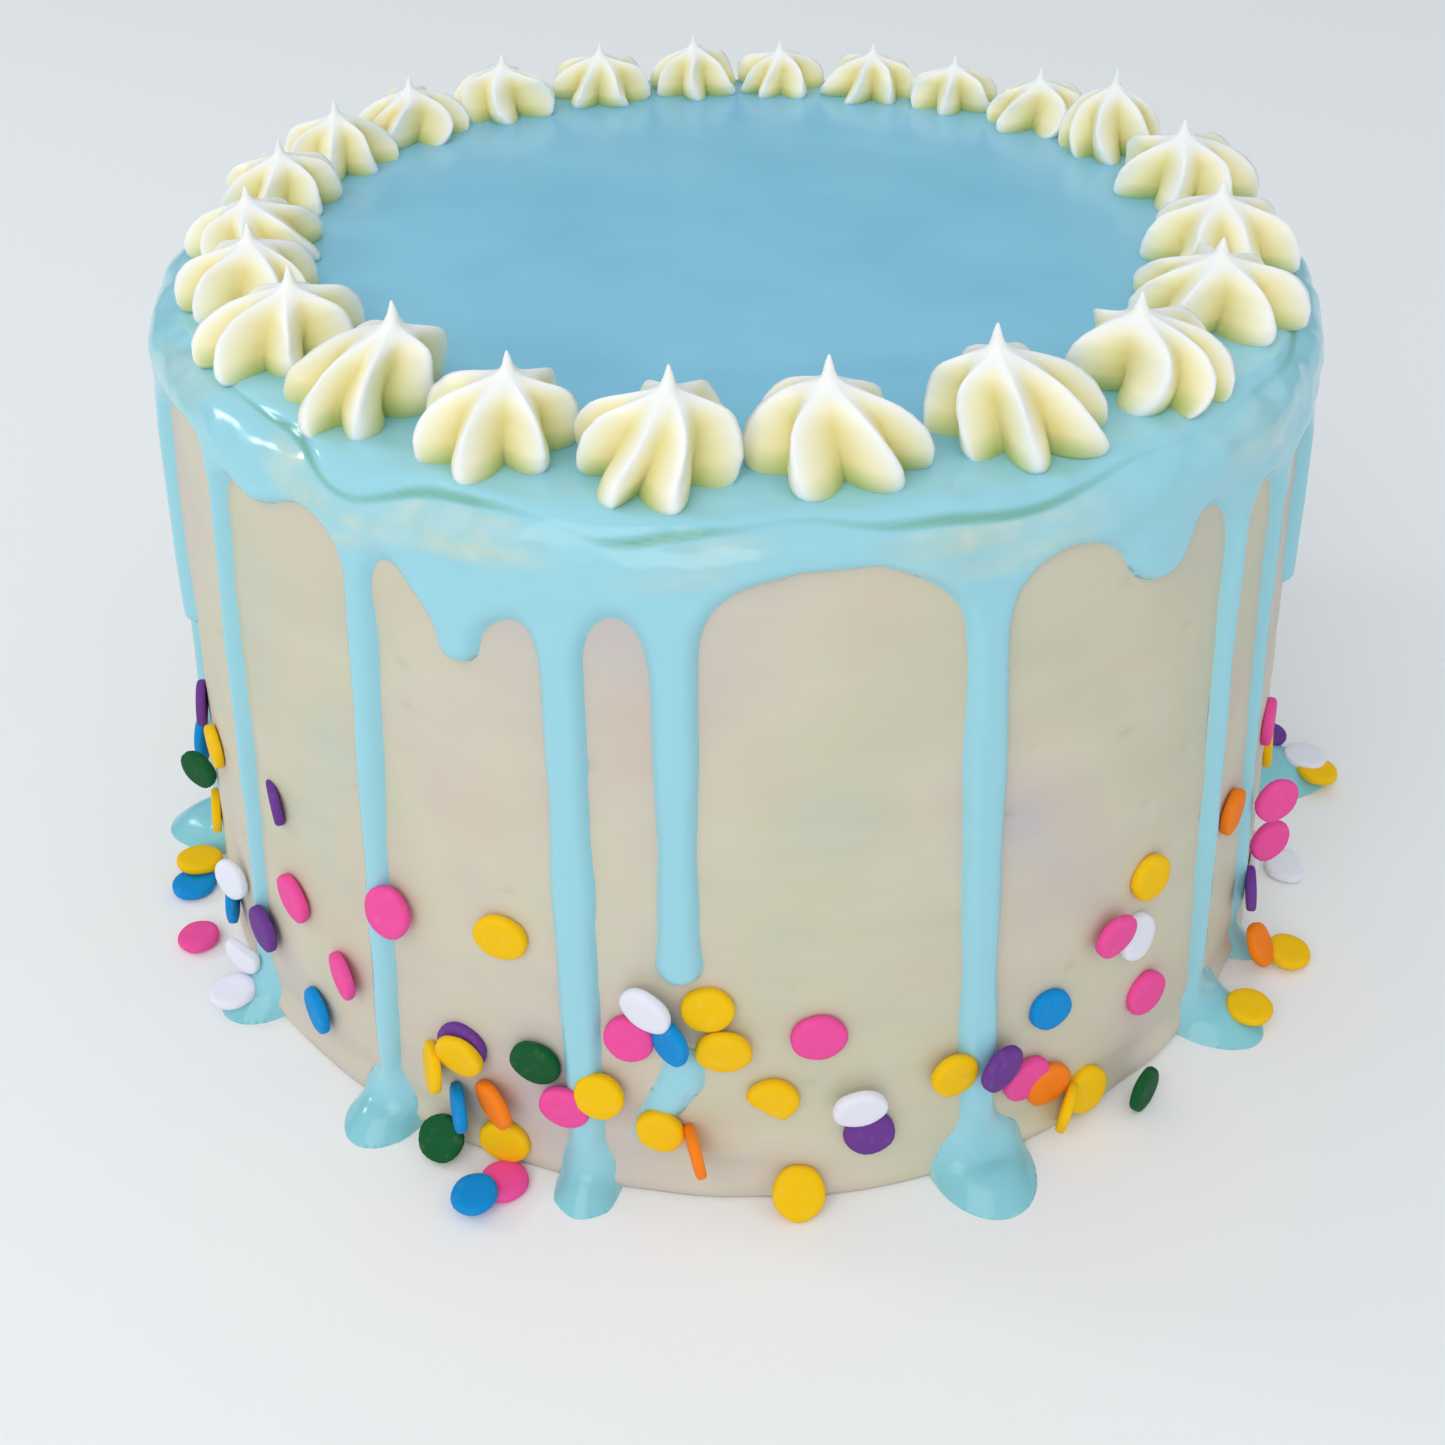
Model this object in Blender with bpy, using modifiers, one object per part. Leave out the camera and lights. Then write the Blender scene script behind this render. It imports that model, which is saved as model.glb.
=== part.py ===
"""Round frosted cake with a poured glaze, long drips, a ring of piped stars and confetti sprinkles.

Metres, +Z up. The origin is the centre of the flat underside, and the front faces -Y.
"""
import math
import random

import bmesh
import bpy
from mathutils import Matrix, Vector
from mathutils.bvhtree import BVHTree

# Driving dimensions in millimetres. An azimuth is in degrees from the front, positive to the right.
MM = 0.001
GAP = 0.3
BASE_RADIUS = 75.5
TOP_RADIUS = 70.2
BODY_HEIGHT = 85.2
RIM_ROUND = 3.0
BASE_LIP = 0.6
GLAZE_ON_TOP = 1.8
GLAZE_ON_SIDE = 1.3
DRIP_THICKNESS = 1.5
DRIP_FLARE = 3.0
PUDDLE_HEIGHT = 2.0
STAR_RIDGES = 8
STAR_GROOVE = 0.34
SPRINKLE_RADIUS = 2.9
SPRINKLE_THICKNESS = 1.3
SPRINKLE_SIDES = 7
SIDE_STEPS = 56
CAP_STEPS = 84

# Lower edge of the glaze between its drips, as azimuth and height.
ARCHES = (
    (-74, 81), (-58, 81.5), (-45.9, 82.6), (-36.8, 82), (-27.2, 80.4), (-16.3, 78.4), (-8.6, 79.2),
    (1, 81), (8.6, 83.5), (15, 79.5), (21.5, 79), (26.9, 82.1), (31, 79), (39.5, 80.1), (50.4, 77.2), (57, 76),
)
# Drips as azimuth at the top and at the foot, height of the end (0 runs into a puddle) and width.
DRIPS = (
    (-64, -64.5, 47, 4.2), (-48.3, -52.5, 0, 4.0), (-40.4, -40.4, 79.5, 4.5), (-30.5, -32.7, 0, 4.5),
    (-20.9, -20.9, 70.3, 4.0), (-13.1, -13.1, 0, 4.7), (-4.6, -4.7, 35, 4.3), (19.3, 20.9, 0, 4.9),
    (34.1, 34.1, 75.1, 6.6), (45, 48, 0, 4.6), (53.6, 58.7, 0, 3.4), (69, 70, 52, 4.4),
)
# Puddles at the feet of the long drips, as azimuth, half width and outer radius.
PUDDLES = (
    (-53.4, 4.6, 82), (-33.4, 4.6, 82.7), (-13.4, 4.0, 80.5), (21.5, 6.0, 84.7), (49.5, 5.2, 85), (61, 4.6, 79.5),
    (91, 7.5, 91), (-80, 6.0, 85),
)
# Round the back the drips are evenly spread, and end at uneven heights.
BACK_DRIPS = ((88, 0), (104, 41), (119, 0), (136, 58), (151, 0), (168, 30), (-176, 0), (-160, 50), (-144, 0),
              (-128, 24), (-112, 0), (-97, 61), (-80, 0))

# Stars in order round the rim, by azimuth, and the heights that they were drawn up to.
STAR_AZIMUTHS = (-40.5, -23, -7.3, 9, 27.5, 46, 66, 84, 104.5, 122, 135.5, 148.5, 161, 173.5, -174, -160.5,
                 -146, -131.5, -117, -102.5, -87, -71.5, -56.5)
STAR_HEIGHTS = (12, 10.5, 11, 11.5, 12, 10.5, 9.5, 9.5, 9.5, 11, 8, 7.5, 7.5, 7, 8, 8, 8.3, 8, 9, 8.7, 8.5, 9.5, 10)
STAR_PROFILE = ((0.0, 0.96), (0.16, 1.0), (0.43, 0.91), (0.62, 0.66), (0.76, 0.25), (0.87, 0.10))

# Sprinkles pressed into the side, by colour, as azimuth, height and, for those seen edge on, a tilt.
SIDE_SPRINKLES = {
    "yellow": ((-19.7, 36.2), (-65, 31.5), (-24.9, 16.2), (-27.9, 12.5, 50), (-11.9, 15.8), (-20.9, 4),
               (-2.6, 30.3), (-1.3, 24.1), (-6.8, 11), (2.8, 15.9), (18.5, 16.7), (33.3, 4), (38.4, 33.3),
               (30.4, 4.2, 55), (-72, 14), (74.5, 22)),
    "pink": ((-31.4, 33.8), (-44.8, 25.4), (-38.1, 19.6), (-15.1, 12.8), (-9.3, 24.8), (6.7, 25.1), (26.1, 11.1),
             (39.4, 14.3), (34.5, 28.6), (72, 31, 40), (77.7, 13), (83.8, 18)),
    "white": ((-59.9, 13.8), (-56.3, 6.9), (-7.6, 30), (10.1, 14.8), (38.1, 25.2), (70, 8)),
    "blue": ((-42.9, 9, 60), (-63.2, 5.1, 55), (-25.4, 7.6, 60), (-5.7, 26.7), (27.8, 21.2)),
    "purple": ((-45.8, 37.8, 55), (-50.3, 15, 55), (-25.6, 19.6, 60), (11.2, 9.6), (22.3, 16.5), (63.5, 10, 50),
               (-71, 36)),
    "orange": ((-21.2, 10.9), (-3.7, 9.5, 60), (28.6, 8.5), (52.2, 30.7)),
    "green": ((-17.8, 17.9), (-27, 3.8), (-70, 24)),
}
# Sprinkles lying at the foot of the cake, as azimuth and distance from the centre.
FOOT_SPRINKLES = ((-55.4, 79.8), (-65.7, 77.6), (-75.5, 78), (-21.9, 77.8), (5, 77.3), (39.5, 78), (61, 78.2),
                  (53.2, 81.6), (69, 77.8), (75.9, 78), (91, 86.5), (95, 82.5))
BACK_SPRINKLES = 48


def radians(azimuth):
    return math.radians(azimuth)


def at(azimuth, radius, height):
    """Point at an azimuth in radians, with radius and height in millimetres."""
    return Vector((radius * math.sin(azimuth), -radius * math.cos(azimuth), height)) * MM


def stroke(azimuth, height):
    """Uneven strokes of a palette knife along the side."""
    low = math.sin(3 * azimuth + 0.7) + 0.6 * math.sin(7 * azimuth - height / 19)
    return 0.22 * low + 0.12 * math.sin(5 * azimuth + height / 9)


def skin_radius(azimuth, height, grow=0.0):
    """Radius of the side, or of a skin at a distance outside it, round the soft rim too."""
    rim_base = BODY_HEIGHT - RIM_ROUND
    rim_centre = TOP_RADIUS - RIM_ROUND
    if height > rim_base:
        reach = max((RIM_ROUND + grow) ** 2 - (height - rim_base) ** 2, 0.0)
        return rim_centre + math.sqrt(reach) + stroke(azimuth, rim_base)
    straight = BASE_RADIUS + (TOP_RADIUS - BASE_RADIUS) * height / rim_base
    return straight + grow + stroke(azimuth, height)


def link(obj, group):
    group.objects.link(obj)
    return obj


def applied(obj):
    """Replaces the object's mesh by what its modifiers make of it."""
    graph = bpy.context.evaluated_depsgraph_get()
    mesh = bpy.data.meshes.new_from_object(obj.evaluated_get(graph))
    obj.modifiers.clear()
    obj.data = mesh
    return obj


def turned(name, profile, steps, group):
    """Solid of revolution from (radius, height) pairs that run down its outer side."""
    mesh = bpy.data.meshes.new(name)
    points = [(radius * MM, 0.0, height * MM) for radius, height in profile]
    mesh.from_pydata(points, [(i, i + 1) for i in range(len(points) - 1)], [])
    obj = link(bpy.data.objects.new(name, mesh), group)
    screw = obj.modifiers.new("Turn", "SCREW")
    screw.steps = steps
    screw.render_steps = steps
    screw.use_merge_vertices = True
    screw.merge_threshold = 0.00005
    return applied(obj)


def reshaped(obj, rule):
    """Moves every vertex by a rule on its azimuth, radius and height."""
    for vertex in obj.data.vertices:
        x, y, z = vertex.co / MM
        vertex.co = rule(math.atan2(x, -y), math.hypot(x, y), z)
    return obj


def body(name, grow, floor, group):
    """The frosted cake, or the same shape grown by a clearance."""
    rim_base = BODY_HEIGHT - RIM_ROUND
    profile = [(0, BODY_HEIGHT + grow), (TOP_RADIUS - RIM_ROUND, BODY_HEIGHT + grow)]
    for angle in (40, 90):
        turn = math.radians(angle)
        reach = RIM_ROUND + grow
        profile.append((TOP_RADIUS - RIM_ROUND + reach * math.sin(turn), rim_base + reach * math.cos(turn)))
    for height in (44, 6):
        profile.append((skin_radius(0, height, grow) - stroke(0, height), height))
    profile.append((BASE_RADIUS + BASE_LIP + grow, 1.5))
    profile.append((BASE_RADIUS + grow, floor))
    profile.append((0, floor))

    def uneven(azimuth, radius, height):
        moved = stroke(azimuth, min(height, rim_base)) if radius > TOP_RADIUS - RIM_ROUND + 0.5 else 0
        return at(azimuth, radius + moved, height)

    return reshaped(turned(name, profile, SIDE_STEPS, group), uneven)


def smooth_between(knots, azimuth):
    """Smooth value at an azimuth in degrees, through (azimuth, value) knots that close round the cake."""
    ends = [(knots[-1][0] - 360, knots[-1][1])] + knots + [(knots[0][0] + 360, knots[0][1])]
    for (start, first), (end, last) in zip(ends, ends[1:]):
        if start <= azimuth <= end:
            share = (azimuth - start) / (end - start)
            share = share * share * (3 - 2 * share)
            return first + (last - first) * share
    return knots[0][1]


def fringe_knots():
    """The arches that show, carried on round the back between its drips."""
    rng = random.Random(21)
    knots = [(float(azimuth), height) for azimuth, height in ARCHES]
    azimuths = sorted(azimuth % 360 for azimuth, end in BACK_DRIPS)
    for before, after in zip([62] + azimuths, azimuths + [286]):
        middle = (before + after) / 2
        if 66 < middle < 284:
            knots.append((middle if middle <= 180 else middle - 360, rng.uniform(78, 82.5)))
    return sorted(knots)


FRINGE = fringe_knots()


def fringe(azimuth):
    """Height of the glaze's lower edge at an azimuth in radians."""
    degrees = math.degrees(azimuth)
    return smooth_between(FRINGE, (degrees + 180) % 360 - 180)


def glaze_cap(group):
    """Skin of glaze over the top and the rim, down to its arched lower edge."""
    rim_base = BODY_HEIGHT - RIM_ROUND
    profile = [(0, BODY_HEIGHT + GLAZE_ON_TOP), (TOP_RADIUS - RIM_ROUND, BODY_HEIGHT + GLAZE_ON_TOP)]
    for angle in (30, 62):
        turn = math.radians(angle)
        reach = RIM_ROUND + GLAZE_ON_TOP + (GLAZE_ON_SIDE - GLAZE_ON_TOP) * angle / 90
        profile.append((TOP_RADIUS - RIM_ROUND + reach * math.sin(turn), rim_base + reach * math.cos(turn)))
    hem = profile[-1][1]
    profile += [(TOP_RADIUS, hem - 1), (TOP_RADIUS - 0.1, hem - 2), (62, hem - 3), (0, hem - 3)]

    def draped(azimuth, radius, height):
        steps = round(hem - height) if height < hem - 0.5 else 0
        edge = fringe(azimuth)
        if steps == 0:
            return at(azimuth, radius + stroke(azimuth, rim_base) * min(1, radius / 60), height)
        if steps == 3:
            return at(azimuth, radius, edge - 1.5)
        height = (edge, edge - 0.7)[steps - 1]
        return at(azimuth, skin_radius(azimuth, height, (1.15, 0.5)[steps - 1]), height)

    return reshaped(turned("glaze", profile, CAP_STEPS, group), draped)


def loft(name, sections, group):
    """Closed solid through sections of equal point count, each one a closed outline."""
    mesh = bmesh.new()
    rings = [[mesh.verts.new(point) for point in section] for section in sections]
    count = len(rings[0])
    for upper, lower in zip(rings, rings[1:]):
        for i in range(count):
            j = (i + 1) % count
            mesh.faces.new((upper[i], lower[i], lower[j], upper[j]))
    mesh.faces.new(rings[0])
    mesh.faces.new(reversed(rings[-1]))
    bmesh.ops.recalc_face_normals(mesh, faces=mesh.faces)
    data = bpy.data.meshes.new(name)
    mesh.to_mesh(data)
    mesh.free()
    return link(bpy.data.objects.new(name, data), group)


def drip(index, top, foot, end, width, group):
    """Drip that leaves the glaze's edge in a flare, hugs the side and ends in a bead or a puddle."""
    top, foot = radians(top), radians(foot)
    edge = fringe(top)
    half = width / 2
    heights = [min(edge + 2.5, 84), edge, edge - 2.5, edge - 5.5]
    if end == 0:
        heights += [0.5 * edge, 5, 0.4]
    else:
        reach = max(edge - 8 - end - 2 * half, 0)
        heights = [height for height in heights if height > end + 2 * half]
        heights += [end + 2 * half + reach * 0.4] if reach > 6 else []
        heights += [end + half * share for share in (1.5, 0.9, 0.4, 0.08)]
    sections = []
    for height in heights:
        fall = max(edge - height, 0)
        wide = half + DRIP_FLARE * math.exp(-fall / 2.6)
        thick = DRIP_THICKNESS * min(1, 0.6 + fall / 9)
        if end:
            near = min(max((height - end) / half, 0), 2)
            bead = 1 + 0.16 * math.exp(-((near - 1.2) / 0.8) ** 2)
            closing = math.sqrt(max(1 - (1 - near) ** 2, 0)) if near < 1 else 1
            wide *= bead * closing
            thick *= bead * (0.35 + 0.65 * closing)
        across = foot + (top - foot) * max(height / edge, 0) ** 0.8
        section = []
        for share, lift in ((-0.95, -1.6), (-1, 0), (-0.62, 0.8), (0, 1), (0.62, 0.8), (1, 0), (0.95, -1.6)):
            grow = lift * thick if lift > 0 else lift
            radius = skin_radius(across, height, grow)
            section.append(at(across + share * wide / radius, radius, height))
        sections.append(section)
    return loft(f"drip_{index}", sections, group)


def puddle(index, azimuth, half, outer, group):
    """Pool of glaze that spreads from the foot of the cake, flat underneath."""
    mesh = bmesh.new()
    bmesh.ops.create_uvsphere(mesh, u_segments=12, v_segments=6, radius=1)
    for vertex in mesh.verts:
        vertex.co.x *= half * MM
        vertex.co.y *= (outer - BASE_RADIUS) * MM
        vertex.co.z *= PUDDLE_HEIGHT * MM
    everything = mesh.verts[:] + mesh.edges[:] + mesh.faces[:]
    bmesh.ops.bisect_plane(mesh, geom=everything, plane_co=(0, 0, 0), plane_no=(0, 0, -1), clear_outer=True)
    bmesh.ops.holes_fill(mesh, edges=[edge for edge in mesh.edges if edge.is_boundary])
    bmesh.ops.recalc_face_normals(mesh, faces=mesh.faces)
    turn = Matrix.Rotation(radians(azimuth), 4, "Z") @ Matrix.Translation((0, -BASE_RADIUS * MM, 0))
    bmesh.ops.transform(mesh, matrix=turn, verts=mesh.verts)
    data = bpy.data.meshes.new("puddle")
    mesh.to_mesh(data)
    mesh.free()
    return link(bpy.data.objects.new(f"puddle_{index}", data), group)


def joined(obj, operation, group):
    """One Boolean with everything in the group, whose objects are then removed."""
    boolean = obj.modifiers.new("Join", "BOOLEAN")
    boolean.operation = operation
    boolean.operand_type = "COLLECTION"
    boolean.collection = group
    boolean.solver = "EXACT"
    applied(obj)
    for operand in list(group.objects):
        bpy.data.objects.remove(operand)
    bpy.data.collections.remove(group)
    return largest_body(obj)


def largest_body(obj):
    """Drops loose scraps and fills sealed hollows: only the largest closed surface stays."""
    mesh = bmesh.new()
    mesh.from_mesh(obj.data)
    bmesh.ops.remove_doubles(mesh, verts=mesh.verts, dist=0.000002)
    bmesh.ops.dissolve_degenerate(mesh, edges=mesh.edges, dist=0.000002)
    left = set(mesh.verts)
    bodies = []
    while left:
        found = {left.pop()}
        edge = list(found)
        while edge:
            vertex = edge.pop()
            for side in vertex.link_edges:
                other = side.other_vert(vertex)
                if other not in found:
                    found.add(other)
                    edge.append(other)
        left -= found
        bodies.append(found)
    bodies.sort(key=len)
    scraps = [vertex for found in bodies[:-1] for vertex in found]
    bmesh.ops.delete(mesh, geom=scraps, context="VERTS")
    mesh.to_mesh(obj.data)
    mesh.free()
    return obj


def collection(name):
    group = bpy.data.collections.new(name)
    bpy.context.scene.collection.children.link(group)
    return group


def runs_and_pools(additions):
    """Every drip of the glaze and every puddle at the foot of one."""
    drips = list(DRIPS)
    puddles = list(PUDDLES)
    rng = random.Random(5)
    for azimuth, end in BACK_DRIPS:
        drips.append((azimuth, azimuth + rng.uniform(-2.5, 2.5), end, rng.uniform(3.8, 5)))
        if end == 0 and min(abs(azimuth - known[0]) for known in PUDDLES) > 5:
            puddles.append((drips[-1][1], rng.uniform(4, 6), rng.uniform(80, 85)))
    for index, shape in enumerate(drips):
        drip(index, *shape, additions)
    for index, shape in enumerate(puddles):
        puddle(index, *shape, additions)


def star(index, azimuth, ring, reach, height, group):
    """Piped star: ridges that swell over the base, turn a little and draw up to a thin leaning tip."""
    rng = random.Random(100 + index)
    name = f"star_{index:02d}"
    profile = [(share * reach, rise * height) for rise, share in reversed(STAR_PROFILE)]
    profile = [(0, height)] + profile + [(0, 0)]
    steps = 2 * STAR_RIDGES
    obj = turned(name, profile, steps, group)
    feet = [rng.uniform(0.88, 1.0) for _ in range(STAR_RIDGES)]
    swings = [rng.uniform(-0.14, 0.14) for _ in range(STAR_RIDGES)]
    twist = rng.uniform(-0.5, 0.5)
    phase = rng.uniform(0, 2 * math.pi)
    lean = Vector((rng.uniform(-1, 1), rng.uniform(-1, 1), 0)) * 0.9

    def ruffled(angle, radius, rise):
        column = round(angle / (2 * math.pi) * steps) % steps
        up = rise / height
        ridge = column % 2 == 0
        foot = feet[column // 2]
        scale = 1 + (foot - 1) * (1 - up) if ridge else 1 - STAR_GROOVE * (1 - 0.6 * up)
        turn = angle + phase + twist * up + (swings[column // 2] * (1 - up) if ridge else 0)
        point = Vector((math.cos(turn), math.sin(turn) * 1.06, 0)) * radius * scale + lean * up * up
        lift = 0.25 if ridge and 0 < up < 0.3 else 0
        point.z = rise + lift * foot
        return point * MM

    reshaped(obj, ruffled)
    obj.location = at(radians(azimuth), ring, BODY_HEIGHT + GLAZE_ON_TOP + GAP)
    obj.rotation_euler = (0, 0, radians(azimuth))
    return obj


def star_ring(group):
    """Ring of stars, set a little nearer the rim, smaller and closer together towards the back."""
    count = len(STAR_AZIMUTHS)
    rings = [59 + 3.5 * min(max((abs(azimuth) - 84) / 45, 0), 1) for azimuth in STAR_AZIMUTHS]
    spots = [at(radians(azimuth), ring, 0) / MM for azimuth, ring in zip(STAR_AZIMUTHS, rings)]
    for i in range(count):
        nearest = min((spots[i] - spots[i - 1]).length, (spots[i] - spots[(i + 1) % count]).length)
        reach = min(0.485 * nearest, 9)
        star(i + 1, STAR_AZIMUTHS[i], rings[i], reach, STAR_HEIGHTS[i], group)


def disc(name, matrix, radius, thickness, group):
    """Confetti disc with its middle at the matrix's origin."""
    mesh = bmesh.new()
    bmesh.ops.create_cone(mesh, cap_ends=True, segments=SPRINKLE_SIDES, radius1=radius * MM,
                          radius2=0.93 * radius * MM, depth=thickness * MM, matrix=matrix)
    data = bpy.data.meshes.new(name)
    mesh.to_mesh(data)
    mesh.free()
    return link(bpy.data.objects.new(name, data), group)


def lying_on_side(azimuth, height, out, tilt, spin):
    """Pose of a disc whose middle is some distance outside the side, flat to it or tilted."""
    middle = at(azimuth, skin_radius(azimuth, height, out), height)
    slope = math.atan2(BASE_RADIUS - TOP_RADIUS, BODY_HEIGHT)
    turn = Matrix.Rotation(azimuth, 4, "Z") @ Matrix.Rotation(math.pi / 2 - slope, 4, "X")
    turn = turn @ Matrix.Rotation(spin, 4, "Z") @ Matrix.Rotation(radians(tilt), 4, "X")
    return Matrix.Translation(middle) @ turn


def lying_on_foot(azimuth, radius, spin):
    """Pose of a disc that lies level at the foot of the cake."""
    middle = at(azimuth, radius, SPRINKLE_THICKNESS / 2 + 0.1)
    return Matrix.Translation(middle) @ Matrix.Rotation(spin, 4, "Z")


def tree_of(obj):
    corners = [vertex.co.copy() for vertex in obj.data.vertices]
    return BVHTree.FromPolygons(corners, [tuple(face.vertices) for face in obj.data.polygons])


def touches(matrix, radius, thickness, trees, spare):
    probe = tree_of(disc("probe", matrix, radius, thickness, spare))
    bpy.data.objects.remove(spare.objects["probe"])
    return any(probe.overlap(tree) for tree in trees)


def sprinkle_spots():
    """Every sprinkle as azimuth in radians, height, distance from the centre (for the foot) and tilt."""
    rng = random.Random(3)
    spots = [(radians(spot[0]), spot[1], None, spot[2] if len(spot) > 2 else rng.uniform(-9, 9))
             for shown in SIDE_SPRINKLES.values() for spot in shown]
    spots += [(radians(azimuth), 0, radius, 0) for azimuth, radius in FOOT_SPRINKLES]
    for index in range(BACK_SPRINKLES):
        azimuth = 86 + 198 * (index + rng.uniform(0.1, 0.9)) / BACK_SPRINKLES
        azimuth = radians(azimuth if azimuth <= 180 else azimuth - 360)
        if index % 9 == 4:
            spots.append((azimuth, 0, rng.uniform(77.5, 78.5), 0))
        else:
            spots.append((azimuth, 4 + 34 * rng.random() ** 1.6, None, rng.choice((0, 5, -8, 10, 55))))
    return spots


def share_sprinkles(on_cake_group, on_glaze_group):
    """Lays each sprinkle on the frosting or, where it would touch a drip or a puddle, on the glaze."""
    rng = random.Random(11)
    spare = collection("spare")
    trees = [tree_of(obj) for obj in on_glaze_group.objects]
    for index, (azimuth, height, radius, tilt) in enumerate(sprinkle_spots()):
        size = SPRINKLE_RADIUS * rng.uniform(0.94, 1.04)
        spin = rng.uniform(0, 2 * math.pi)
        for shift in (0, 0.7, -0.7, 1.4, -1.4, 2.1, -2.1, 2.8, -2.8):
            moved = azimuth + shift / BASE_RADIUS
            if radius is None:
                middle = lying_on_side(moved, height, 0.75, tilt, spin)
                on_cake = lying_on_side(moved, height, 0.35 if abs(tilt) < 20 else 0.5, tilt, spin)
                on_glaze = lying_on_side(moved, height, 0.95, 0, spin)
            else:
                middle = on_cake = on_glaze = lying_on_foot(moved, radius, spin)
            thick = SPRINKLE_THICKNESS
            if not touches(middle, size + 0.5, thick + 1.6, trees, spare):
                disc(f"sprinkle_{index}", on_cake, size, thick, on_cake_group)
                break
            if touches(on_glaze, size * 0.75, thick * 0.4, trees, spare):
                trees.append(tree_of(disc(f"sprinkle_{index}", on_glaze, size, thick, on_glaze_group)))
                break
    bpy.data.collections.remove(spare)


def paint(obj, name, colour, roughness, coat=0.0):
    material = bpy.data.materials.get(name) or bpy.data.materials.new(name)
    material.use_nodes = True
    shader = material.node_tree.nodes["Principled BSDF"]
    shader.inputs["Base Color"].default_value = (*colour, 1)
    shader.inputs["Roughness"].default_value = roughness
    shader.inputs["Metallic"].default_value = 0
    shader.inputs["Coat Weight"].default_value = coat
    obj.data.materials.clear()
    obj.data.materials.append(material)
    obj.data.shade_smooth()
    obj.data.set_sharp_from_angle(angle=math.radians(38))


def main():
    for obj in list(bpy.data.objects):
        bpy.data.objects.remove(obj)
    parts = collection("birthday_cake")
    cake_additions = collection("cake_additions")
    glaze_additions = collection("glaze_additions")
    cutters = collection("cutters")
    runs_and_pools(glaze_additions)
    share_sprinkles(cake_additions, glaze_additions)
    body("clearance", GAP, -6, cutters)
    joined(body("cake", 0, 0, parts), "UNION", cake_additions)
    glaze = joined(glaze_cap(parts), "UNION", glaze_additions)
    joined(glaze, "DIFFERENCE", cutters)
    star_ring(parts)
    for obj in parts.objects:
        if obj.name == "cake":
            paint(obj, "buttercream_side", (0.62, 0.58, 0.50), 0.6)
        elif obj.name == "glaze":
            paint(obj, "poured_glaze", (0.42, 0.70, 0.76), 0.15, 0.5)
        else:
            paint(obj, "piped_buttercream", (0.86, 0.80, 0.52), 0.5)


main()
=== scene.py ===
"""Looks of a round frosted cake with poured glaze, piped stars and confetti sprinkles, laid out as an add-on."""
import math
import random

import bmesh
import bpy
import numpy as np
from mathutils import Euler, Matrix, Vector, noise


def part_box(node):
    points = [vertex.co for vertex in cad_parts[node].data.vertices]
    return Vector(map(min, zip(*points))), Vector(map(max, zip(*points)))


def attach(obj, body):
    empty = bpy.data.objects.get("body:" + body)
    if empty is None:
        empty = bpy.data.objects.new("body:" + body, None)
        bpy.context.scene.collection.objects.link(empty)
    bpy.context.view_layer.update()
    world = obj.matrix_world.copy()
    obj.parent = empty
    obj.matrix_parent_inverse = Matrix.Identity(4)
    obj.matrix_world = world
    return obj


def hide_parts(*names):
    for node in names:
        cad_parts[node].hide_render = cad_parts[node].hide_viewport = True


bl_info = {
    "name": "Drip Cake",
    "version": (1, 0, 0),
    "blender": (4, 5, 0),
    "location": "View3D > Sidebar > Drip Cake",
    "description": "Frosting, poured glaze, piped stars, confetti sprinkles and a studio for a round cake",
    "category": "Object",
}

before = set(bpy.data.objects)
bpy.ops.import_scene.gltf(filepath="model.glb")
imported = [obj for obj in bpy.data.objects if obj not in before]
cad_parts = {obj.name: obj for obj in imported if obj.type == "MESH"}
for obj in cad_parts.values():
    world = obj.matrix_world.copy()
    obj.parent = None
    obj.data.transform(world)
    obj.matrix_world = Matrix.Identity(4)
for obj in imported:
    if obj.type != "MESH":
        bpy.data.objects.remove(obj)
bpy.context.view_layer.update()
MM = 0.001
TO_MM = 1000
TAU = 2 * math.pi

# The cake's main sizes in millimetres, as in the solid model.
BASE_RADIUS = 75.5
TOP_RADIUS = 70.2
BODY_HEIGHT = 85.2
RIM_ROUND = 3.0
RIM_BASE = BODY_HEIGHT - RIM_ROUND
TOP_FLAT = TOP_RADIUS - RIM_ROUND
FOOT_FILLET = 3.0
GLAZE_ON_TOP = 1.8
# Thickness of the glaze on rim and side, radius from which its sheet is fine, and how deep its edges may sink.
GLAZE_SKIN = 1.15
FINE_FROM = 58
LOWEST = -0.4
# Points closer than this are joined, and how often the puddles and the whole sheet are evened out.
JOIN_DISTANCE = 0.17
POOL_ROUNDS, SHEET_ROUNDS = 34, 3
# Columns round the cake, and small pits in the frosting.
FROSTING_COLUMNS, GLAZE_COLUMNS = 560, 1000
PIT_COUNT = 60
# Seeds of the random draws.
SEEDS = {"fringe": 21, "pits": 8, "drips": 5, "spots": 3, "tints": 14, "discs": 77, "stars": 400}

# Lower edge of the glaze between its drips: azimuth in degrees (0 at the front, positive right) and height.
ARCHES = (
    (-74, 81), (-60, 81.5), (-48.6, 82.6), (-40.3, 80.9), (-28.6, 80.4), (-17.2, 78.4), (-9, 79.2),
    (1, 81), (9, 83.5), (15.6, 79.5), (22.2, 79), (27.8, 80.8), (33, 78.4), (41.8, 79.2), (53.5, 77.2), (60.5, 76),
)
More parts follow.
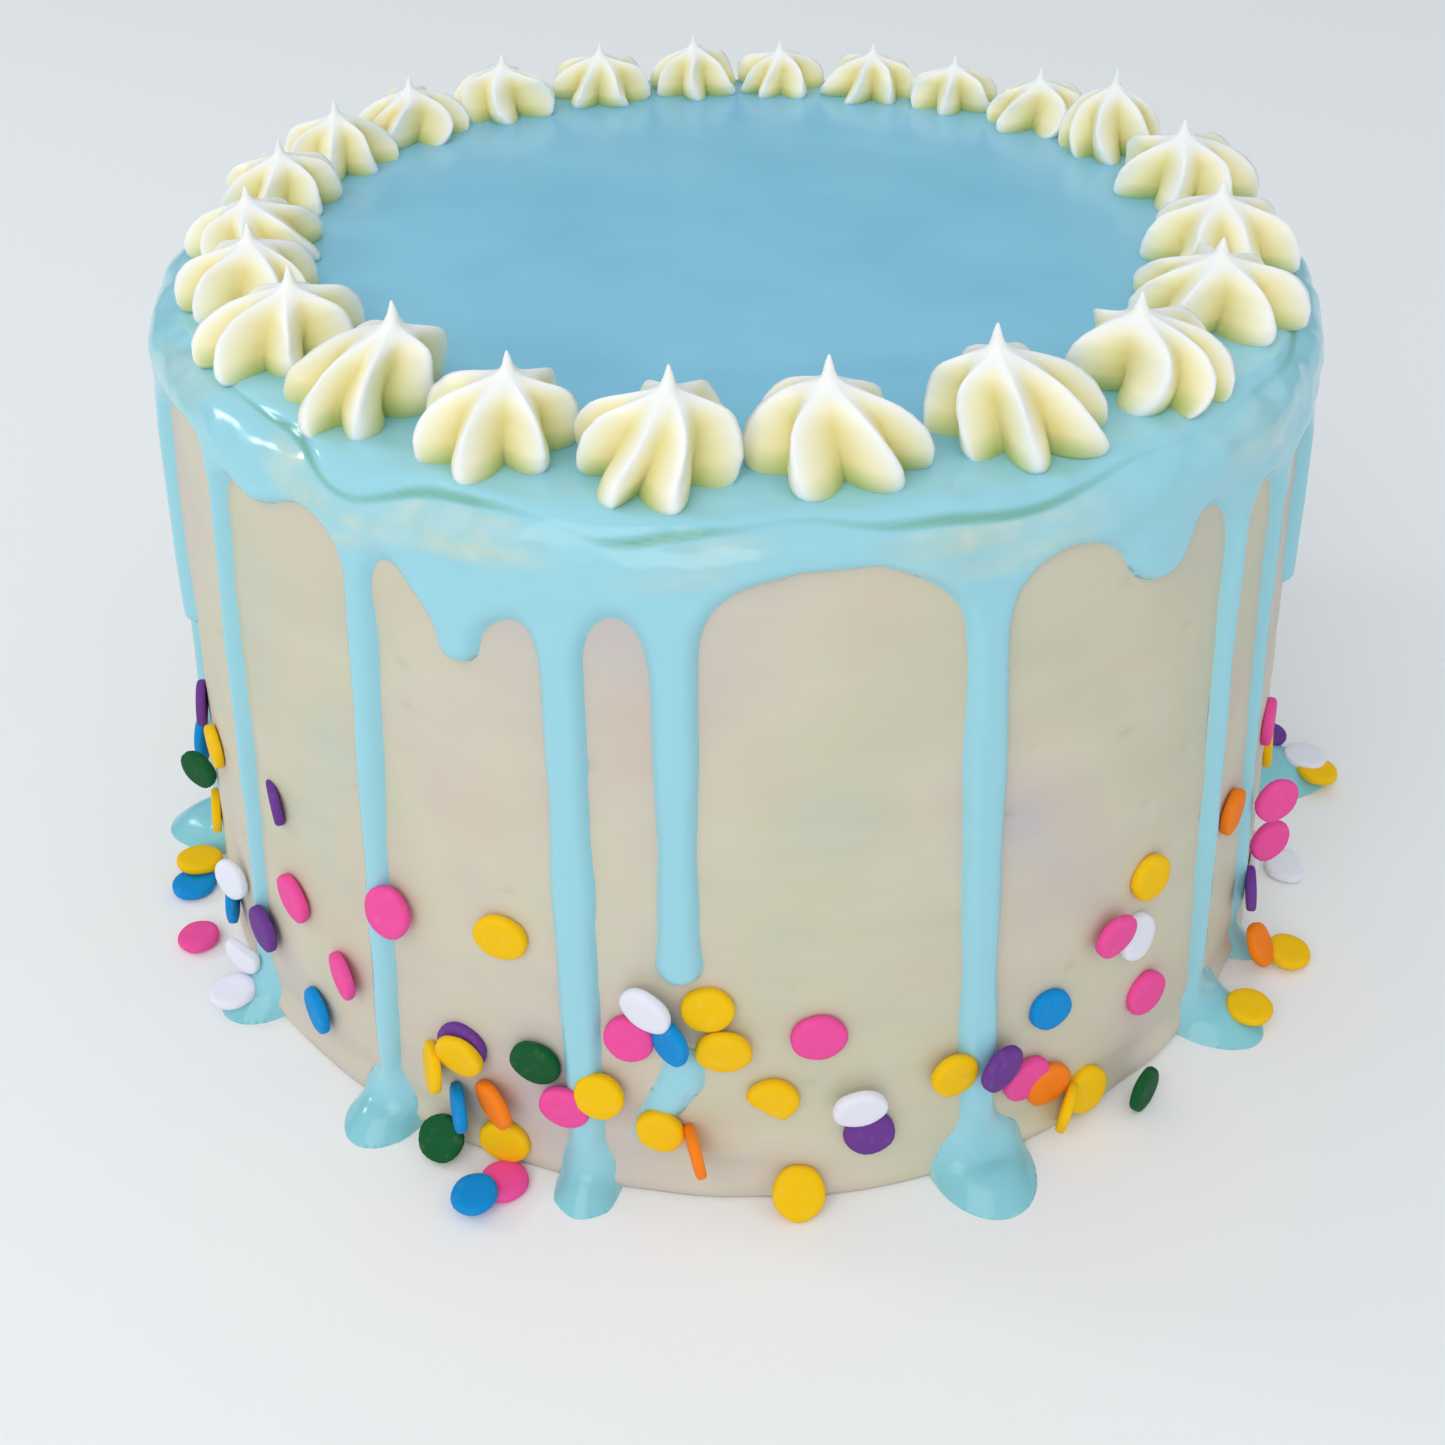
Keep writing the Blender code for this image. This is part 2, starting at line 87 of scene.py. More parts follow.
# Drips: azimuth at the top and the foot, height of the end (0 runs into a puddle) and width.
DRIPS = (
    (-69, -69.5, 47, 3.6), (-51.3, -55.6, 0, 3.0), (-44.6, -44.6, 79.3, 4.3), (-32.4, -34.3, 0, 3.8),
    (-22.8, -22.8, 68.9, 4.4), (-13.9, -13.5, 0, 4.9), (-4.9, -5.0, 32, 4.7), (20, 21.7, 0, 4.9),
    (-22.9, -22.7, 75.5, 7), (37, 37, 72.8, 6.4), (47.9, 50.8, 0, 3.2), (57, 62, 0, 2.3), (69, 70, 52, 4.0),
)
# Puddles: azimuth, half width and outer radius.
PUDDLES = (
    (-54.8, 4.8, 82.5), (-34.2, 4.7, 82.7), (-13.4, 3.3, 80.8), (21.8, 6.1, 84.4), (51.8, 5.4, 85), (62.5, 2.4, 78),
    (91, 7.5, 91), (-83, 6.0, 85),
)
# Short smear below the drip that ends above the sprinkles: azimuth, height and half width.
SMEAR = ((-4.6, 21.5, 1.9), (-4.9, 18, 2.6), (-6.3, 14.5, 2.3), (-7.6, 11.2, 1.9), (-8.3, 8.6, 1.3))
BACK_DRIPS = ((88, 0), (104, 41), (119, 0), (136, 58), (151, 0), (168, 30), (-176, 0), (-160, 50), (-144, 0),
              (-128, 24), (-112, 0), (-97, 61), (-80, 0))

# Sprinkles on the side, by colour: azimuth, height and, where it shows, tilt, spin and how far it is lifted.
SIDE_SPRINKLES = {
    "yellow": ((-20.3, 35.4), (-65, 31.5), (-24.9, 16.2, 8, 0, 0.9), (-27.9, 12.5, 50), (-11.9, 15.8), (-21.4, 3.4),
               (-2.6, 29.3), (-1.3, 23.9, 8, 0, 0.5), (-6.8, 11), (2.8, 15.9), (18.5, 16.7), (33.3, 4), (39.4, 32.6),
               (30.4, 4.2, 55), (-72, 14), (74.5, 22)),
    "pink": ((-31.4, 33.8), (-46.4, 23.9), (-38.8, 18.4, -20, 100), (-15.1, 12.8), (-9.3, 24.2), (6.7, 24.8),
             (26.1, 11.1), (40.7, 13.6), (34.6, 28, 6, 0, 0.9), (68, 32, 0, 90), (64, 17.2, -40, 90, 1.2),
             (61.5, 26.6, -38, 90, 1.2)),
    "white": ((-60.2, 14.6, 24, 96, 0.5), (-56.2, 6.4, 24, 80, 0.7), (-7.6, 30, -22, 118, 0.9),
              (10.1, 14.8, 10, 0, 0.9), (38.3, 24.6), (70, 8)),
    "blue": ((-43.7, 8.4, -12, 96), (-63.2, 7.5, -20, 90), (-25.4, 7.6, 60), (-5.8, 25.4, -40, 96), (28.3, 20.4)),
    "purple": ((-48.6, 36.4, -22, 104, -1.2), (-52.6, 13.8, 0, 108, 0.1), (-25.1, 16.7, 0, 0), (11.2, 9.6),
               (22.6, 16.5, 18, 80, 0.6), (60.6, 12.3, 18, 100), (-71, 33)),
    "orange": ((-21.8, 10.2, -30, 104, 0.3), (-3.7, 9.5, 60), (28.6, 8.5), (54.6, 30)),
    "green": ((-17.8, 17.9), (-71, 22.5, 42, 80, 0.6), (38.4, 2.4, 12, 78, 3.2)),
}
# Sprinkles lying or leaning at the foot: colour, azimuth, distance from the centre and, in a pile, their lift.
FOOT_SPRINKLES = (
    ("white", -55.2, 80.2, 1.3), ("pink", -65.2, 81.2), ("yellow", -75.5, 79.6, 1.2), ("blue", -73, 80.6),
    ("green", -26.9, 78), ("pink", -20.4, 79), ("blue", -21.8, 82.4, 0.9), ("yellow", 5, 77.6), ("orange", 60.2, 78),
    ("yellow", 53.2, 81.6), ("yellow", 62.7, 82.7, 0.5), ("white", 75.2, 80.8), ("white", 91, 86.5),
    ("yellow", 89.2, 87.6), ("purple", 95, 82.5),
)
# From this distance on they lie flat; nearer ones lean against the side.
LIES_BEYOND = 78.9
BACK_SPRINKLES = 48
# Draws passed over before those of the back, so that these match the solid model.
PASSED_DRAWS = 53
# Radius and half thickness of a sprinkle, points round it, and how far from its middle the glaze below is felt.
DISC_RADIUS, DISC_HALF, DISC_SIDES, PROBE = 3.02, 0.62, 22, 2.2
# Sugar colours as sRGB hex.
SUGAR = {"yellow": "FAC600", "pink": "F551A2", "white": "EEEFFA", "blue": "0090DA", "purple": "6F3A94",
         "orange": "FF8410", "green": "04582A"}
# Ridges of the stars that are seen from near: direction in degrees from +X and reach in millimetres.
STAR_FEET = {
    1: ((115, 9), (155, 9.4), (-132, 8.6), (-86, 8.3), (-14, 8), (42, 9.5), (82, 8.6)),
    2: ((146, 9.2), (-160, 8.6), (-110, 8.6), (-52, 7.6), (2, 7.8), (50, 8.6), (98, 8.8)),
    3: ((152, 8.8), (-176, 7.8), (-124, 9.6), (-80, 9.8), (-22, 8.5), (36, 8.7), (92, 8.4)),
    4: ((142, 9.3), (170, 8.6), (-112, 7.7), (-42, 8.4), (3, 9.6), (48, 9), (96, 8.8)),
    5: ((166, 8.9), (-138, 7.6), (-83, 8.3), (-28, 9.6), (22, 9.6), (68, 9), (116, 9)),
    6: ((128, 7.6), (168, 8.6), (-92, 8.3), (-52, 9), (-14, 9), (28, 9.4), (78, 9)),
    23: ((-176, 9.6), (-131, 9.3), (-80, 6.8), (-12, 8.2), (42, 9.8), (84, 9.2), (132, 9.2)),
}
# How far their tips lean, in millimetres towards +X and +Y.
STAR_LEAN = {1: (4.2, -0.8), 2: (1.4, -0.3), 3: (1.3, -0.4), 4: (-0.5, 0.6), 5: (-2.5, 0.2), 6: (-1.6, -0.2),
             23: (1.6, 0.6)}


def linear(code):
    """Linear colour of an sRGB hex code."""
    parts = [int(code[i:i + 2], 16) / 255 for i in (0, 2, 4)]
    return tuple(c / 12.92 if c <= 0.04045 else ((c + 0.055) / 1.055) ** 2.4 for c in parts) + (1.0,)


def smooth(value, low, high):
    """Smooth step from 0 at low to 1 at high."""
    share = np.clip((value - low) / (high - low), 0, 1)
    return share * share * (3 - 2 * share)


def wrapped(turn, azimuth):
    """Angle from an azimuth, between half a turn back and half a turn on."""
    return (turn - azimuth + math.pi) % TAU - math.pi


def around(azimuth, distance, height):
    return Vector((distance * math.sin(azimuth), -distance * math.cos(azimuth), height))


def ring_points(turn, radius, height):
    return np.stack([radius * np.sin(turn), -radius * np.cos(turn), height], -1)


def outward(turn):
    return ring_points(turn, 1.0, np.zeros_like(turn)).reshape(-1, 3)


def stroke(azimuth, height):
    """Uneven strokes of a palette knife along the side, as in the solid model."""
    low = np.sin(3 * azimuth + 0.7) + 0.6 * np.sin(7 * azimuth - height / 19)
    return 0.22 * low + 0.12 * np.sin(5 * azimuth + height / 9)


def side_radius(azimuth, height):
    """Radius of the frosted side, round the soft rim too."""
    base = np.minimum(height, RIM_BASE)
    straight = BASE_RADIUS + (TOP_RADIUS - BASE_RADIUS) * base / RIM_BASE
    over = np.clip(height - RIM_BASE, 0, RIM_ROUND)
    return straight - RIM_ROUND + np.sqrt(RIM_ROUND ** 2 - over ** 2) + stroke(azimuth, base)


def fringe_knots():
    """The arches that show, carried on round the back between its drips, as in the solid model."""
    rng = random.Random(SEEDS["fringe"])
    knots = list(ARCHES)
    azimuths = sorted(azimuth % 360 for azimuth, _ in BACK_DRIPS)
    for before, after in zip([62] + azimuths, azimuths + [286]):
        middle = (before + after) / 2
        if 66 < middle < 284:
            knots.append((middle if middle <= 180 else middle - 360, rng.uniform(78, 82.5)))
    return sorted(knots)


def fringe(azimuth):
    """Height of the glaze's lower edge between the drips, with its arches rounded off."""
    return sum(plain_fringe(azimuth + math.radians(shift)) for shift in (-3, -1.5, 0, 1.5, 3)) / 5


def plain_fringe(azimuth):
    """The same height with its knots joined by soft steps."""
    knots = fringe_knots()
    knots = [(knots[-1][0] - 360, knots[-1][1])] + knots + [(knots[0][0] + 360, knots[0][1])]
    at, values = np.array(knots).T
    degrees = (np.degrees(azimuth) + 180) % 360 - 180
    index = np.clip(np.searchsorted(at, degrees, side="right") - 1, 0, len(at) - 2)
    share = smooth((degrees - at[index]) / (at[index + 1] - at[index]), 0, 1)
    return values[index] + (values[index + 1] - values[index]) * share


def field_noise(points, scale, seed):
    """Noise at many points given in millimetres; scale is the size of its features along each axis."""
    offset = Vector((seed * 17.3, seed * 5.1, seed * 9.7))
    sizes = Vector((1 / scale[0], 1 / scale[1], 1 / scale[2]))
    return np.array([noise.noise(Vector((p[0] * sizes[0], p[1] * sizes[1], p[2] * sizes[2])) + offset) for p in points])


def new_object(name, data):
    obj = bpy.data.objects.new(name, data)
    bpy.context.scene.collection.objects.link(obj)
    return obj


def mesh_object(name, points, faces, attributes=None):
    """Smooth mesh from points in millimetres, with values per point for its material."""
    mesh = bpy.data.meshes.new(name)
    mesh.from_pydata((np.asarray(points) * MM).tolist(), [], faces)
    for key, values in (attributes or {}).items():
        layer = mesh.attributes.new(key, "FLOAT", "POINT")
        layer.data.foreach_set("value", np.asarray(values, dtype=np.float32))
    mesh.validate()
    mesh.shade_smooth()
    return new_object(name, mesh)


def closed_faces(columns, rows):
    """Faces of rings of points from the foot up, closed by a top and a bottom point that follow the rings."""
    faces = []
    for row in range(rows - 1):
        for column in range(columns):
            after = (column + 1) % columns
            low, high = row * columns, (row + 1) * columns
            faces.append((low + after, high + after, high + column, low + column))
    last, top = (rows - 1) * columns, rows * columns
    faces += [(last + i, last + (i + 1) % columns, top) for i in range(columns)]
    faces += [((i + 1) % columns, i, top + 1) for i in range(columns)]
    return faces


# The frosted body.

def knife_pits(turn, height):
    """Depth of the small pits that the knife left, from 0 to about 1, at each point."""
    rng = random.Random(SEEDS["pits"])
    pits = np.zeros(len(turn))
    for _ in range(PIT_COUNT):
        azimuth, middle, size = rng.uniform(0, TAU), rng.uniform(8, 76), rng.uniform(0.35, 0.8)
        across = wrapped(turn, azimuth) * BASE_RADIUS
        wide = rng.uniform(1.0, 2.6)
        pits += np.exp(-(across / (size * wide)) ** 2 - ((height - middle) / size) ** 2)
    return pits


def build_frosting(settings):
    azimuths = np.arange(FROSTING_COLUMNS) * TAU / FROSTING_COLUMNS
    heights = np.concatenate([np.arange(0, 3, 0.4), np.arange(3, RIM_BASE, 0.8),
                              RIM_BASE + RIM_ROUND * np.sin(np.linspace(0, 0.9, 6))])
    turn, height = np.meshgrid(azimuths, heights)
    points = ring_points(turn, side_radius(turn, height), height).reshape(-1, 3)
    level = points[:, 2]
    bands = field_noise(points, (34, 34, 5), 1) * 0.16 + field_noise(points, (11, 11, 2.6), 2) * 0.06
    swells = field_noise(points, (26, 26, 26), 3) * 0.25
    relief = (bands + swells) * settings.stroke_depth
    # A ragged lip at the foot, with a broken groove above it.
    lip = np.exp(-((level - 1.3) / 1.3) ** 2)
    relief += lip * (0.55 + 0.9 * field_noise(points, (9, 9, 200), 4)) * 0.8
    groove = np.exp(-((level - 4.4) / 1.5) ** 2)
    relief += -0.5 * groove * np.clip(field_noise(points, (14, 14, 200), 5) + 0.3, 0, 1)
    pits = knife_pits(turn.ravel(), level)
    relief -= 0.3 * pits
    fade = 1 - smooth(level, RIM_BASE - 1, RIM_BASE + 2)
    points = points + outward(turn) * (relief * fade)[:, None]
    points = np.vstack([points, [[0, 0, BODY_HEIGHT - 0.2], [0, 0, 0]]])
    # How deep each point's pit is, for the material's painted shade.
    pits = np.append(np.clip(pits, 0, 1), [0, 0])
    return mesh_object("frosting", points, closed_faces(FROSTING_COLUMNS, len(heights)), {"pit": pits})


# The glaze is one sheet that runs from the middle of the top, over the rim, down the side and out over the floor.

RADIUS, HEIGHT, OUT, UP = range(4)  # columns of the path's table


def glaze_path():
    """Path of the surface under the glaze: distance along it, radius, height and outward direction."""
    rows = [(radius, BODY_HEIGHT, 0.0, 1.0)
            for radius in (*np.arange(0, FINE_FROM, 3), *np.linspace(FINE_FROM, TOP_FLAT, 25))]
    for angle in np.linspace(0, math.pi / 2, 16)[1:]:
        rows.append((TOP_RADIUS - RIM_ROUND * (1 - math.sin(angle)), RIM_BASE + RIM_ROUND * math.cos(angle),
                     math.sin(angle), math.cos(angle)))
    for height in np.linspace(RIM_BASE, FOOT_FILLET, 172)[1:]:
        rows.append((side_plain(height), height, 1.0, 0.06))
    foot = side_plain(0) + FOOT_FILLET
    for angle in np.linspace(0, math.pi / 2, 9)[1:]:
        rows.append((foot - FOOT_FILLET * math.cos(angle), FOOT_FILLET * (1 - math.sin(angle)),
                     math.cos(angle), math.sin(angle)))
    rows += [(foot + out, 0.0, 0.0, 1.0) for out in np.arange(0.5, 17, 0.5)]
    table = np.array(rows)
    steps = np.hypot(np.diff(table[:, 0]), np.diff(table[:, 1]))
    return np.concatenate([[0], np.cumsum(steps)]), table


def side_plain(height):
    """Radius of the side without the strokes."""
    return BASE_RADIUS + (TOP_RADIUS - BASE_RADIUS) * height / RIM_BASE


def all_drips():
    """Every drip and puddle, those of the back by the same rule as in the solid model."""
    drips = list(DRIPS)
    puddles = list(PUDDLES)
    rng = random.Random(SEEDS["drips"])
    for azimuth, end in BACK_DRIPS:
        drips.append((azimuth, azimuth + rng.uniform(-2.5, 2.5), end, rng.uniform(3.8, 5)))
        if end == 0 and min(abs(azimuth - known[0]) for known in PUDDLES) > 5:
            puddles.append((drips[-1][1], rng.uniform(4, 6), rng.uniform(80, 85)))
    return drips, puddles


def union(first, second, soft):
    """Smooth union of two distance fields that are positive inside."""
    near = np.clip(1 - np.abs(first - second) / soft, 0, 1)
    return np.maximum(first, second) + near * near * soft / 4


class Glaze:
    """Outline and thickness of the glaze over azimuth and distance along its path."""

    def __init__(self, settings):
        self.settings = settings
        self.along, self.table = glaze_path()
        self.side_end = self.at_height(FOOT_FILLET)
        self.foot_mid = self.side_end + FOOT_FILLET * math.pi / 4
        self.floor = self.side_end + FOOT_FILLET * math.pi / 2

    def at_height(self, height):
        """Distance along the path at a height on the side."""
        side = (self.table[:, RADIUS] > TOP_RADIUS - 0.01) & (self.table[:, HEIGHT] > 0.01)
        return np.interp(-height, -self.table[side, HEIGHT], self.along[side])

    def at_distance(self, distance):
        """Distance along the path at a distance from the centre, on the floor."""
        return self.floor + distance - BASE_RADIUS - FOOT_FILLET

    def path(self, run, column):
        """One column of the table at distances along the path."""
        return np.interp(run, self.along, self.table[:, column])

    def outline(self, turn, run):
        """Distance to the glaze's edge, positive inside, height, radius, and where only the smear covers."""
        height, radius = self.path(run, HEIGHT), self.path(run, RADIUS)
        inside = (self.at_height(fringe(turn)) - run) * 0.96
        drips, puddles = all_drips()
        level = np.maximum(height, 0)
        for index, (top, foot, end, width) in enumerate(drips):
            top, foot = math.radians(top), math.radians(foot)
            start = float(fringe(np.array([top]))[0])
            lean = foot + (top - foot) * np.clip(level / start, 0, 1) ** 0.8
            wobble = 1 + 0.05 * np.sin(level / 7 + index * 1.7) + 0.03 * np.sin(level / 2.9 + index)
            half = width / 2 * wobble
            across = wrapped(turn, lean) * radius
            if end:
                bead = half * (1 + 0.14 * np.exp(-((level - end - half) / 3) ** 2))
                low = self.at_height(end + width * 0.55)
                below = np.maximum(run - low, 0)
                body = bead - np.hypot(across, below)
            else:
                body = half * (1 - 0.06 * (1 - smooth(level, 6, 16))) - np.abs(across)
                body = np.where(run > self.floor + 1, body - (run - self.floor - 1) * 2, body)
            above = np.maximum(self.at_height(start + 1.5) - run, 0)
            body = body - above
            inside = union(inside, body, self.settings.drip_flare)
        for azimuth, half, outer in puddles:
            reach = self.at_distance(outer) - self.foot_mid
            across = wrapped(turn, math.radians(azimuth)) * radius / (1.06 * half)
            out = (run - self.foot_mid - 0.2) / np.where(run > self.foot_mid + 0.2, reach - 0.2, half * 0.8 + 0.7)
            pool = (1 - np.sqrt(across ** 2 + out ** 2)) * min(half, reach)
            inside = union(inside, pool, 4.0)
        smear = np.full_like(inside, -9.0)
        for azimuth, middle, half in SMEAR:
            across = wrapped(turn, math.radians(azimuth)) * radius
            smear = union(smear, half - np.hypot(across, height - middle), 3.0)
        smear = np.where(run < self.floor, smear, -9)
        return np.maximum(inside, smear), height, radius, smear > inside

    def thickness(self, turn, run, inside, height, only_smear):
        """Thickness that rounds over at the edge, thin over the rim and fuller in the drips and puddles."""
        inside = np.maximum(inside, 0)
        edge = fringe(turn)
        drip = 1 - smooth(height, edge - 6, edge + 1)
        pool = smooth(run, self.side_end - 2, self.floor + 1)
        full = GLAZE_SKIN + 0.30 * drip + 1.45 * pool
        top = smooth(-run, -self.at_height(RIM_BASE + 2), -(TOP_FLAT - 4))
        full = full + (GLAZE_ON_TOP - GLAZE_SKIN) * top
        full = np.where(only_smear, 0.8, full)
        share = np.clip(inside / np.where(only_smear, 1.7, 1.35 + 2.6 * pool), 0, 1)
        thick = full * (1 - (1 - share) ** 2) ** 0.85
        corner = np.clip((run - self.side_end) / (self.floor - self.side_end), 0, 1) * math.pi / 2
        gap = FOOT_FILLET * (1 / np.maximum(np.cos(corner), np.sin(corner)) - 1)
        sunk = (0.2 + 0.35 * pool) * (1 - smooth(inside, 0, 1.1)) * (run > 60)
        return thick - gap * (1 - smooth(inside, 0, 1.6)) - sunk

    def position(self, turn, run, thick):
        """Points of the sheet's outer side."""
        radius, height = self.path(run, RADIUS), self.path(run, HEIGHT)
        uneven = stroke(turn, np.minimum(height, RIM_BASE)) * smooth(radius, 62, 69)
        radius = radius + uneven + self.path(run, OUT) * thick
        height = np.maximum(height + self.path(run, UP) * thick, LOWEST)
        return ring_points(turn, radius, height)


# Soft humps over azimuth, as strength, azimuth and width in degrees: where the ledge on the rim swings in or out,
# where it is sharp and how dark its painted shadow is, and where the cream shows through below it.
LEDGE_SWINGS = ((-1.6, 5, 5), (1.5, -9, 5), (1.8, -33, 5), (-0.8, -48, 10), (0.6, 26, 8))
LEDGE_SHARP = ((1, -5.5, 5), (1, 20, 12), (1, -24, 6), (0.9, -42, 11), (0.7, 75, 20), (0.8, 150, 20), (0.8, -120, 22))
THIN_PATCHES = ((1, -36, 7), (0.9, -22, 7), (1, 21, 9), (0.6, -3, 6), (0.6, -62, 9), (0.5, 50, 8), (0.6, 120, 14),
                (0.6, -130, 16), (0.5, 165, 9))


def humps(turn, rows, base=0):
    """A base with soft humps added to it."""
    for strength, middle, width in rows:
        base = base + strength * np.exp(-(wrapped(turn, math.radians(middle)) / math.radians(width)) ** 2)
    return base


def shelf_line(turn):
    """Where the top pour ends in a soft ledge on the rim, as distance along the path, and how sharp the ledge is."""
    line = TOP_FLAT + 0.4 + 0.5 * np.sin(3 * turn + 1.1) + 0.4 * np.sin(8 * turn) + 0.25 * np.sin(19 * turn)
    return humps(turn, LEDGE_SWINGS, line), np.clip(0.30 + 0.8 * humps(turn, LEDGE_SHARP), 0, 1)


def snapped(glaze, turn, run):
    """Grid whose points next to the glaze's edge are moved onto it, with its outline."""
    inside, height, radius, only_smear = glaze.outline(turn, run)
    across_step = radius * TAU / GLAZE_COLUMNS
    run_step = np.gradient(run, axis=0)
    slope_run = np.gradient(inside, axis=0) / run_step
    slope_turn = (np.roll(inside, -1, 1) - np.roll(inside, 1, 1)) / (2 * across_step)
    steep = np.clip(slope_run ** 2 + slope_turn ** 2, 0.15, 2.5)
    near = 0.51 * (np.abs(slope_turn) * across_step + np.abs(slope_run) * run_step)
    snap = (np.abs(inside) < near) & (run > 60)
    for _ in range(3):
        turn = turn - np.where(snap, inside * slope_turn / steep / radius, 0)
        run = run - np.where(snap, inside * slope_run / steep, 0)
        inside_now, height, radius, only_smear = glaze.outline(turn, run)
        inside = np.where(snap, inside_now, inside)
    return turn, run, np.where(snap, np.maximum(inside, 0), inside), height, only_smear


def rim_relief(glaze, turn, run, thick):
    """Thickness with the ledge on the rim, the painted shadow under the ledge, and how thin the glaze is there."""
    shelf, sharp = shelf_line(turn)
    below = run - shelf
    ledge = smooth(-below, -0.75, 0.25)
    high_side = smooth(-below, -0.75, 4.5)
    on_rim = (run > 40) * (1 - smooth(run, glaze.at_height(RIM_BASE - 3), glaze.at_height(RIM_BASE - 8)))
    raised = 0.55 * ledge * (1 - 0.6 * high_side) - 0.5 * (1 - ledge) * np.exp(-(below / 3.5) ** 2)
    thick = thick + on_rim * sharp * np.clip(thick, 0, 1) * raised
    # Painted shadow: a dark line just below the ledge, as strong as the ledge is sharp.
    ledge_shadow = np.exp(-((below - 0.6) / 0.45) ** 2) * sharp
    bare = smooth(below, 0.5, 1.6) * (1 - smooth(below, 3.2, 7))
    return thick, np.clip(ledge_shadow, 0, 1), np.clip(bare * humps(turn, THIN_PATCHES), 0, 1)


def wavy_points(glaze, turn, run, inside, thick):
    """Points of the sheet with low waves all over and lumps on the rim."""
    points = glaze.position(turn, run, thick).reshape(-1, 3)
    calm = field_noise(points, (16, 16, 16), 6) * 0.14 + field_noise(points, (6, 6, 6), 7) * 0.04
    lumps = field_noise(points, (9, 9, 4), 8) * 0.55 + field_noise(points, (4, 4, 2.2), 12) * 0.28
    rim = smooth(run, 62, 67) * (1 - smooth(run, glaze.at_height(RIM_BASE - 2), glaze.at_height(RIM_BASE - 9)))
    calm = calm * (1 - 0.7 * (run < 60)).ravel() + lumps * rim.ravel()
    wave = calm * np.clip(inside.ravel() / 1.5, 0, 1)
    points += outward(turn) * (wave * glaze.path(run, OUT).ravel())[:, None]
    points[:, 2] += wave * glaze.path(run, UP).ravel()
    return points.reshape(*run.shape, 3)


def sheet_faces(keep):
    """Faces between the kept points of a grid that closes round, and a fan about a middle point that follows it."""
    rows, columns = keep.shape
    index = np.arange(rows * columns).reshape(rows, columns)
    after = np.roll(index, -1, 1)
    quads = np.stack([index[:-1], after[:-1], after[1:], index[1:]], -1).reshape(-1, 4)
    held = keep.ravel()[quads]
    count = held.sum(1)
    used = quads[count == 4].tolist()
    used += [quad[on].tolist() for quad, on in zip(quads[count == 3], held[count == 3])]
    return used + [[rows * columns, (column + 1) % columns, column] for column in range(columns)]


def build_glaze(settings):
    glaze = Glaze(settings)
    azimuths = np.arange(GLAZE_COLUMNS) * TAU / GLAZE_COLUMNS
    turn, run, inside, height, only_smear = snapped(glaze, *np.meshgrid(azimuths, glaze.along[1:]))
    thick = glaze.thickness(turn, run, inside, height, only_smear)
    thick, ledge_shadow, thin = rim_relief(glaze, turn, run, thick)
    grid = wavy_points(glaze, turn, run, inside, thick)
    keep = inside >= -1e-6
    hold = np.clip(inside / 0.6, 0, 1)
    low = glaze.along[1:] > glaze.side_end - 8
    on_pool = hold * smooth(run, glaze.side_end - 6, glaze.side_end + 1)
    grid[low] = relax(grid[low], keep[low], on_pool[low], POOL_ROUNDS)
    points = relax(grid, keep, hold * smooth(run, 64, 68), SHEET_ROUNDS).reshape(-1, 3)
    points = np.vstack([points, [[0, 0, BODY_HEIGHT + GLAZE_ON_TOP]]])
    used = sheet_faces(keep)
    needed = np.unique(np.concatenate(used))
    numbers = np.full(len(points), -1)
    numbers[needed] = np.arange(len(needed))
    # Values for the material, over the grid and at the middle point.
    marks = {
        "depth": (np.clip(thick, 0, 3), GLAZE_ON_TOP),
        "thin": (thin, 0),
        "ledge_shadow": (ledge_shadow, 0),
        "side": (smooth(run, 57, 66), 0),
        "pool": (smooth(run, glaze.side_end - 4, glaze.floor + 0.5), 0),
    }
    marks = {key: np.append(values.ravel(), middle)[needed] for key, (values, middle) in marks.items()}
    obj = mesh_object("glaze_pour", points[needed], [tuple(numbers[face]) for face in used], marks)
    join_close(obj, JOIN_DISTANCE)
    return obj


def relax(grid, keep, weight, rounds):
    """Evens a sheet out by drawing its points towards the middle of their neighbours."""
    for _ in range(rounds):
        total, count = np.zeros_like(grid), np.zeros(grid.shape[:2])
        for shift, axis in ((1, 0), (-1, 0), (1, 1), (-1, 1)):
            there = np.roll(keep, shift, axis)
            if axis == 0:
                there[0 if shift == 1 else -1] = False
            total += np.roll(grid, shift, axis) * there[..., None]
            count += there
        middle = total / np.maximum(count, 1)[..., None]
        grid = grid + (middle - grid) * (0.5 * weight * (count > 0))[..., None]
    return grid


def join_close(obj, distance):
    """Joins points on the rim and the side that lie closer than a distance in millimetres, so that no slivers stay."""
    shape = bmesh.new()
    shape.from_mesh(obj.data)
    outer = [point for point in shape.verts if point.co.xy.length > FINE_FROM * MM]
    bmesh.ops.remove_doubles(shape, verts=outer, dist=distance * MM)
    shape.to_mesh(obj.data)
    shape.free()
    obj.data.shade_smooth()


# The piped stars. Their outline runs from the foot up, as shares of the height and of the reach.

STAR_CREST = ((0, 0.95), (0.08, 1.0), (0.22, 1.01), (0.38, 0.96), (0.51, 0.86), (0.60, 0.73), (0.67, 0.54),
              (0.725, 0.34), (0.765, 0.19), (0.81, 0.105), (0.87, 0.07), (0.94, 0.045), (1.0, 0.018))
# Points across each ridge, rows up a star, and how many of them are in its tip.
STAR_FINE, STAR_ROWS, STAR_TIP_ROWS = 14, 34, 12


def star_ridges(index, reach, rng, count):
    """Directions and reaches of a star's ridges, in turning order."""
    if index in STAR_FEET:
        pairs = [(math.radians(turn) % TAU, out) for turn, out in STAR_FEET[index]]
    else:
        phase = rng.uniform(0, TAU)
        pairs = [((phase + (i + rng.uniform(-0.22, 0.22)) * TAU / count) % TAU, reach * rng.uniform(1.03, 1.2))
                 for i in range(count)]
    pairs.sort()
    return np.array(pairs).T


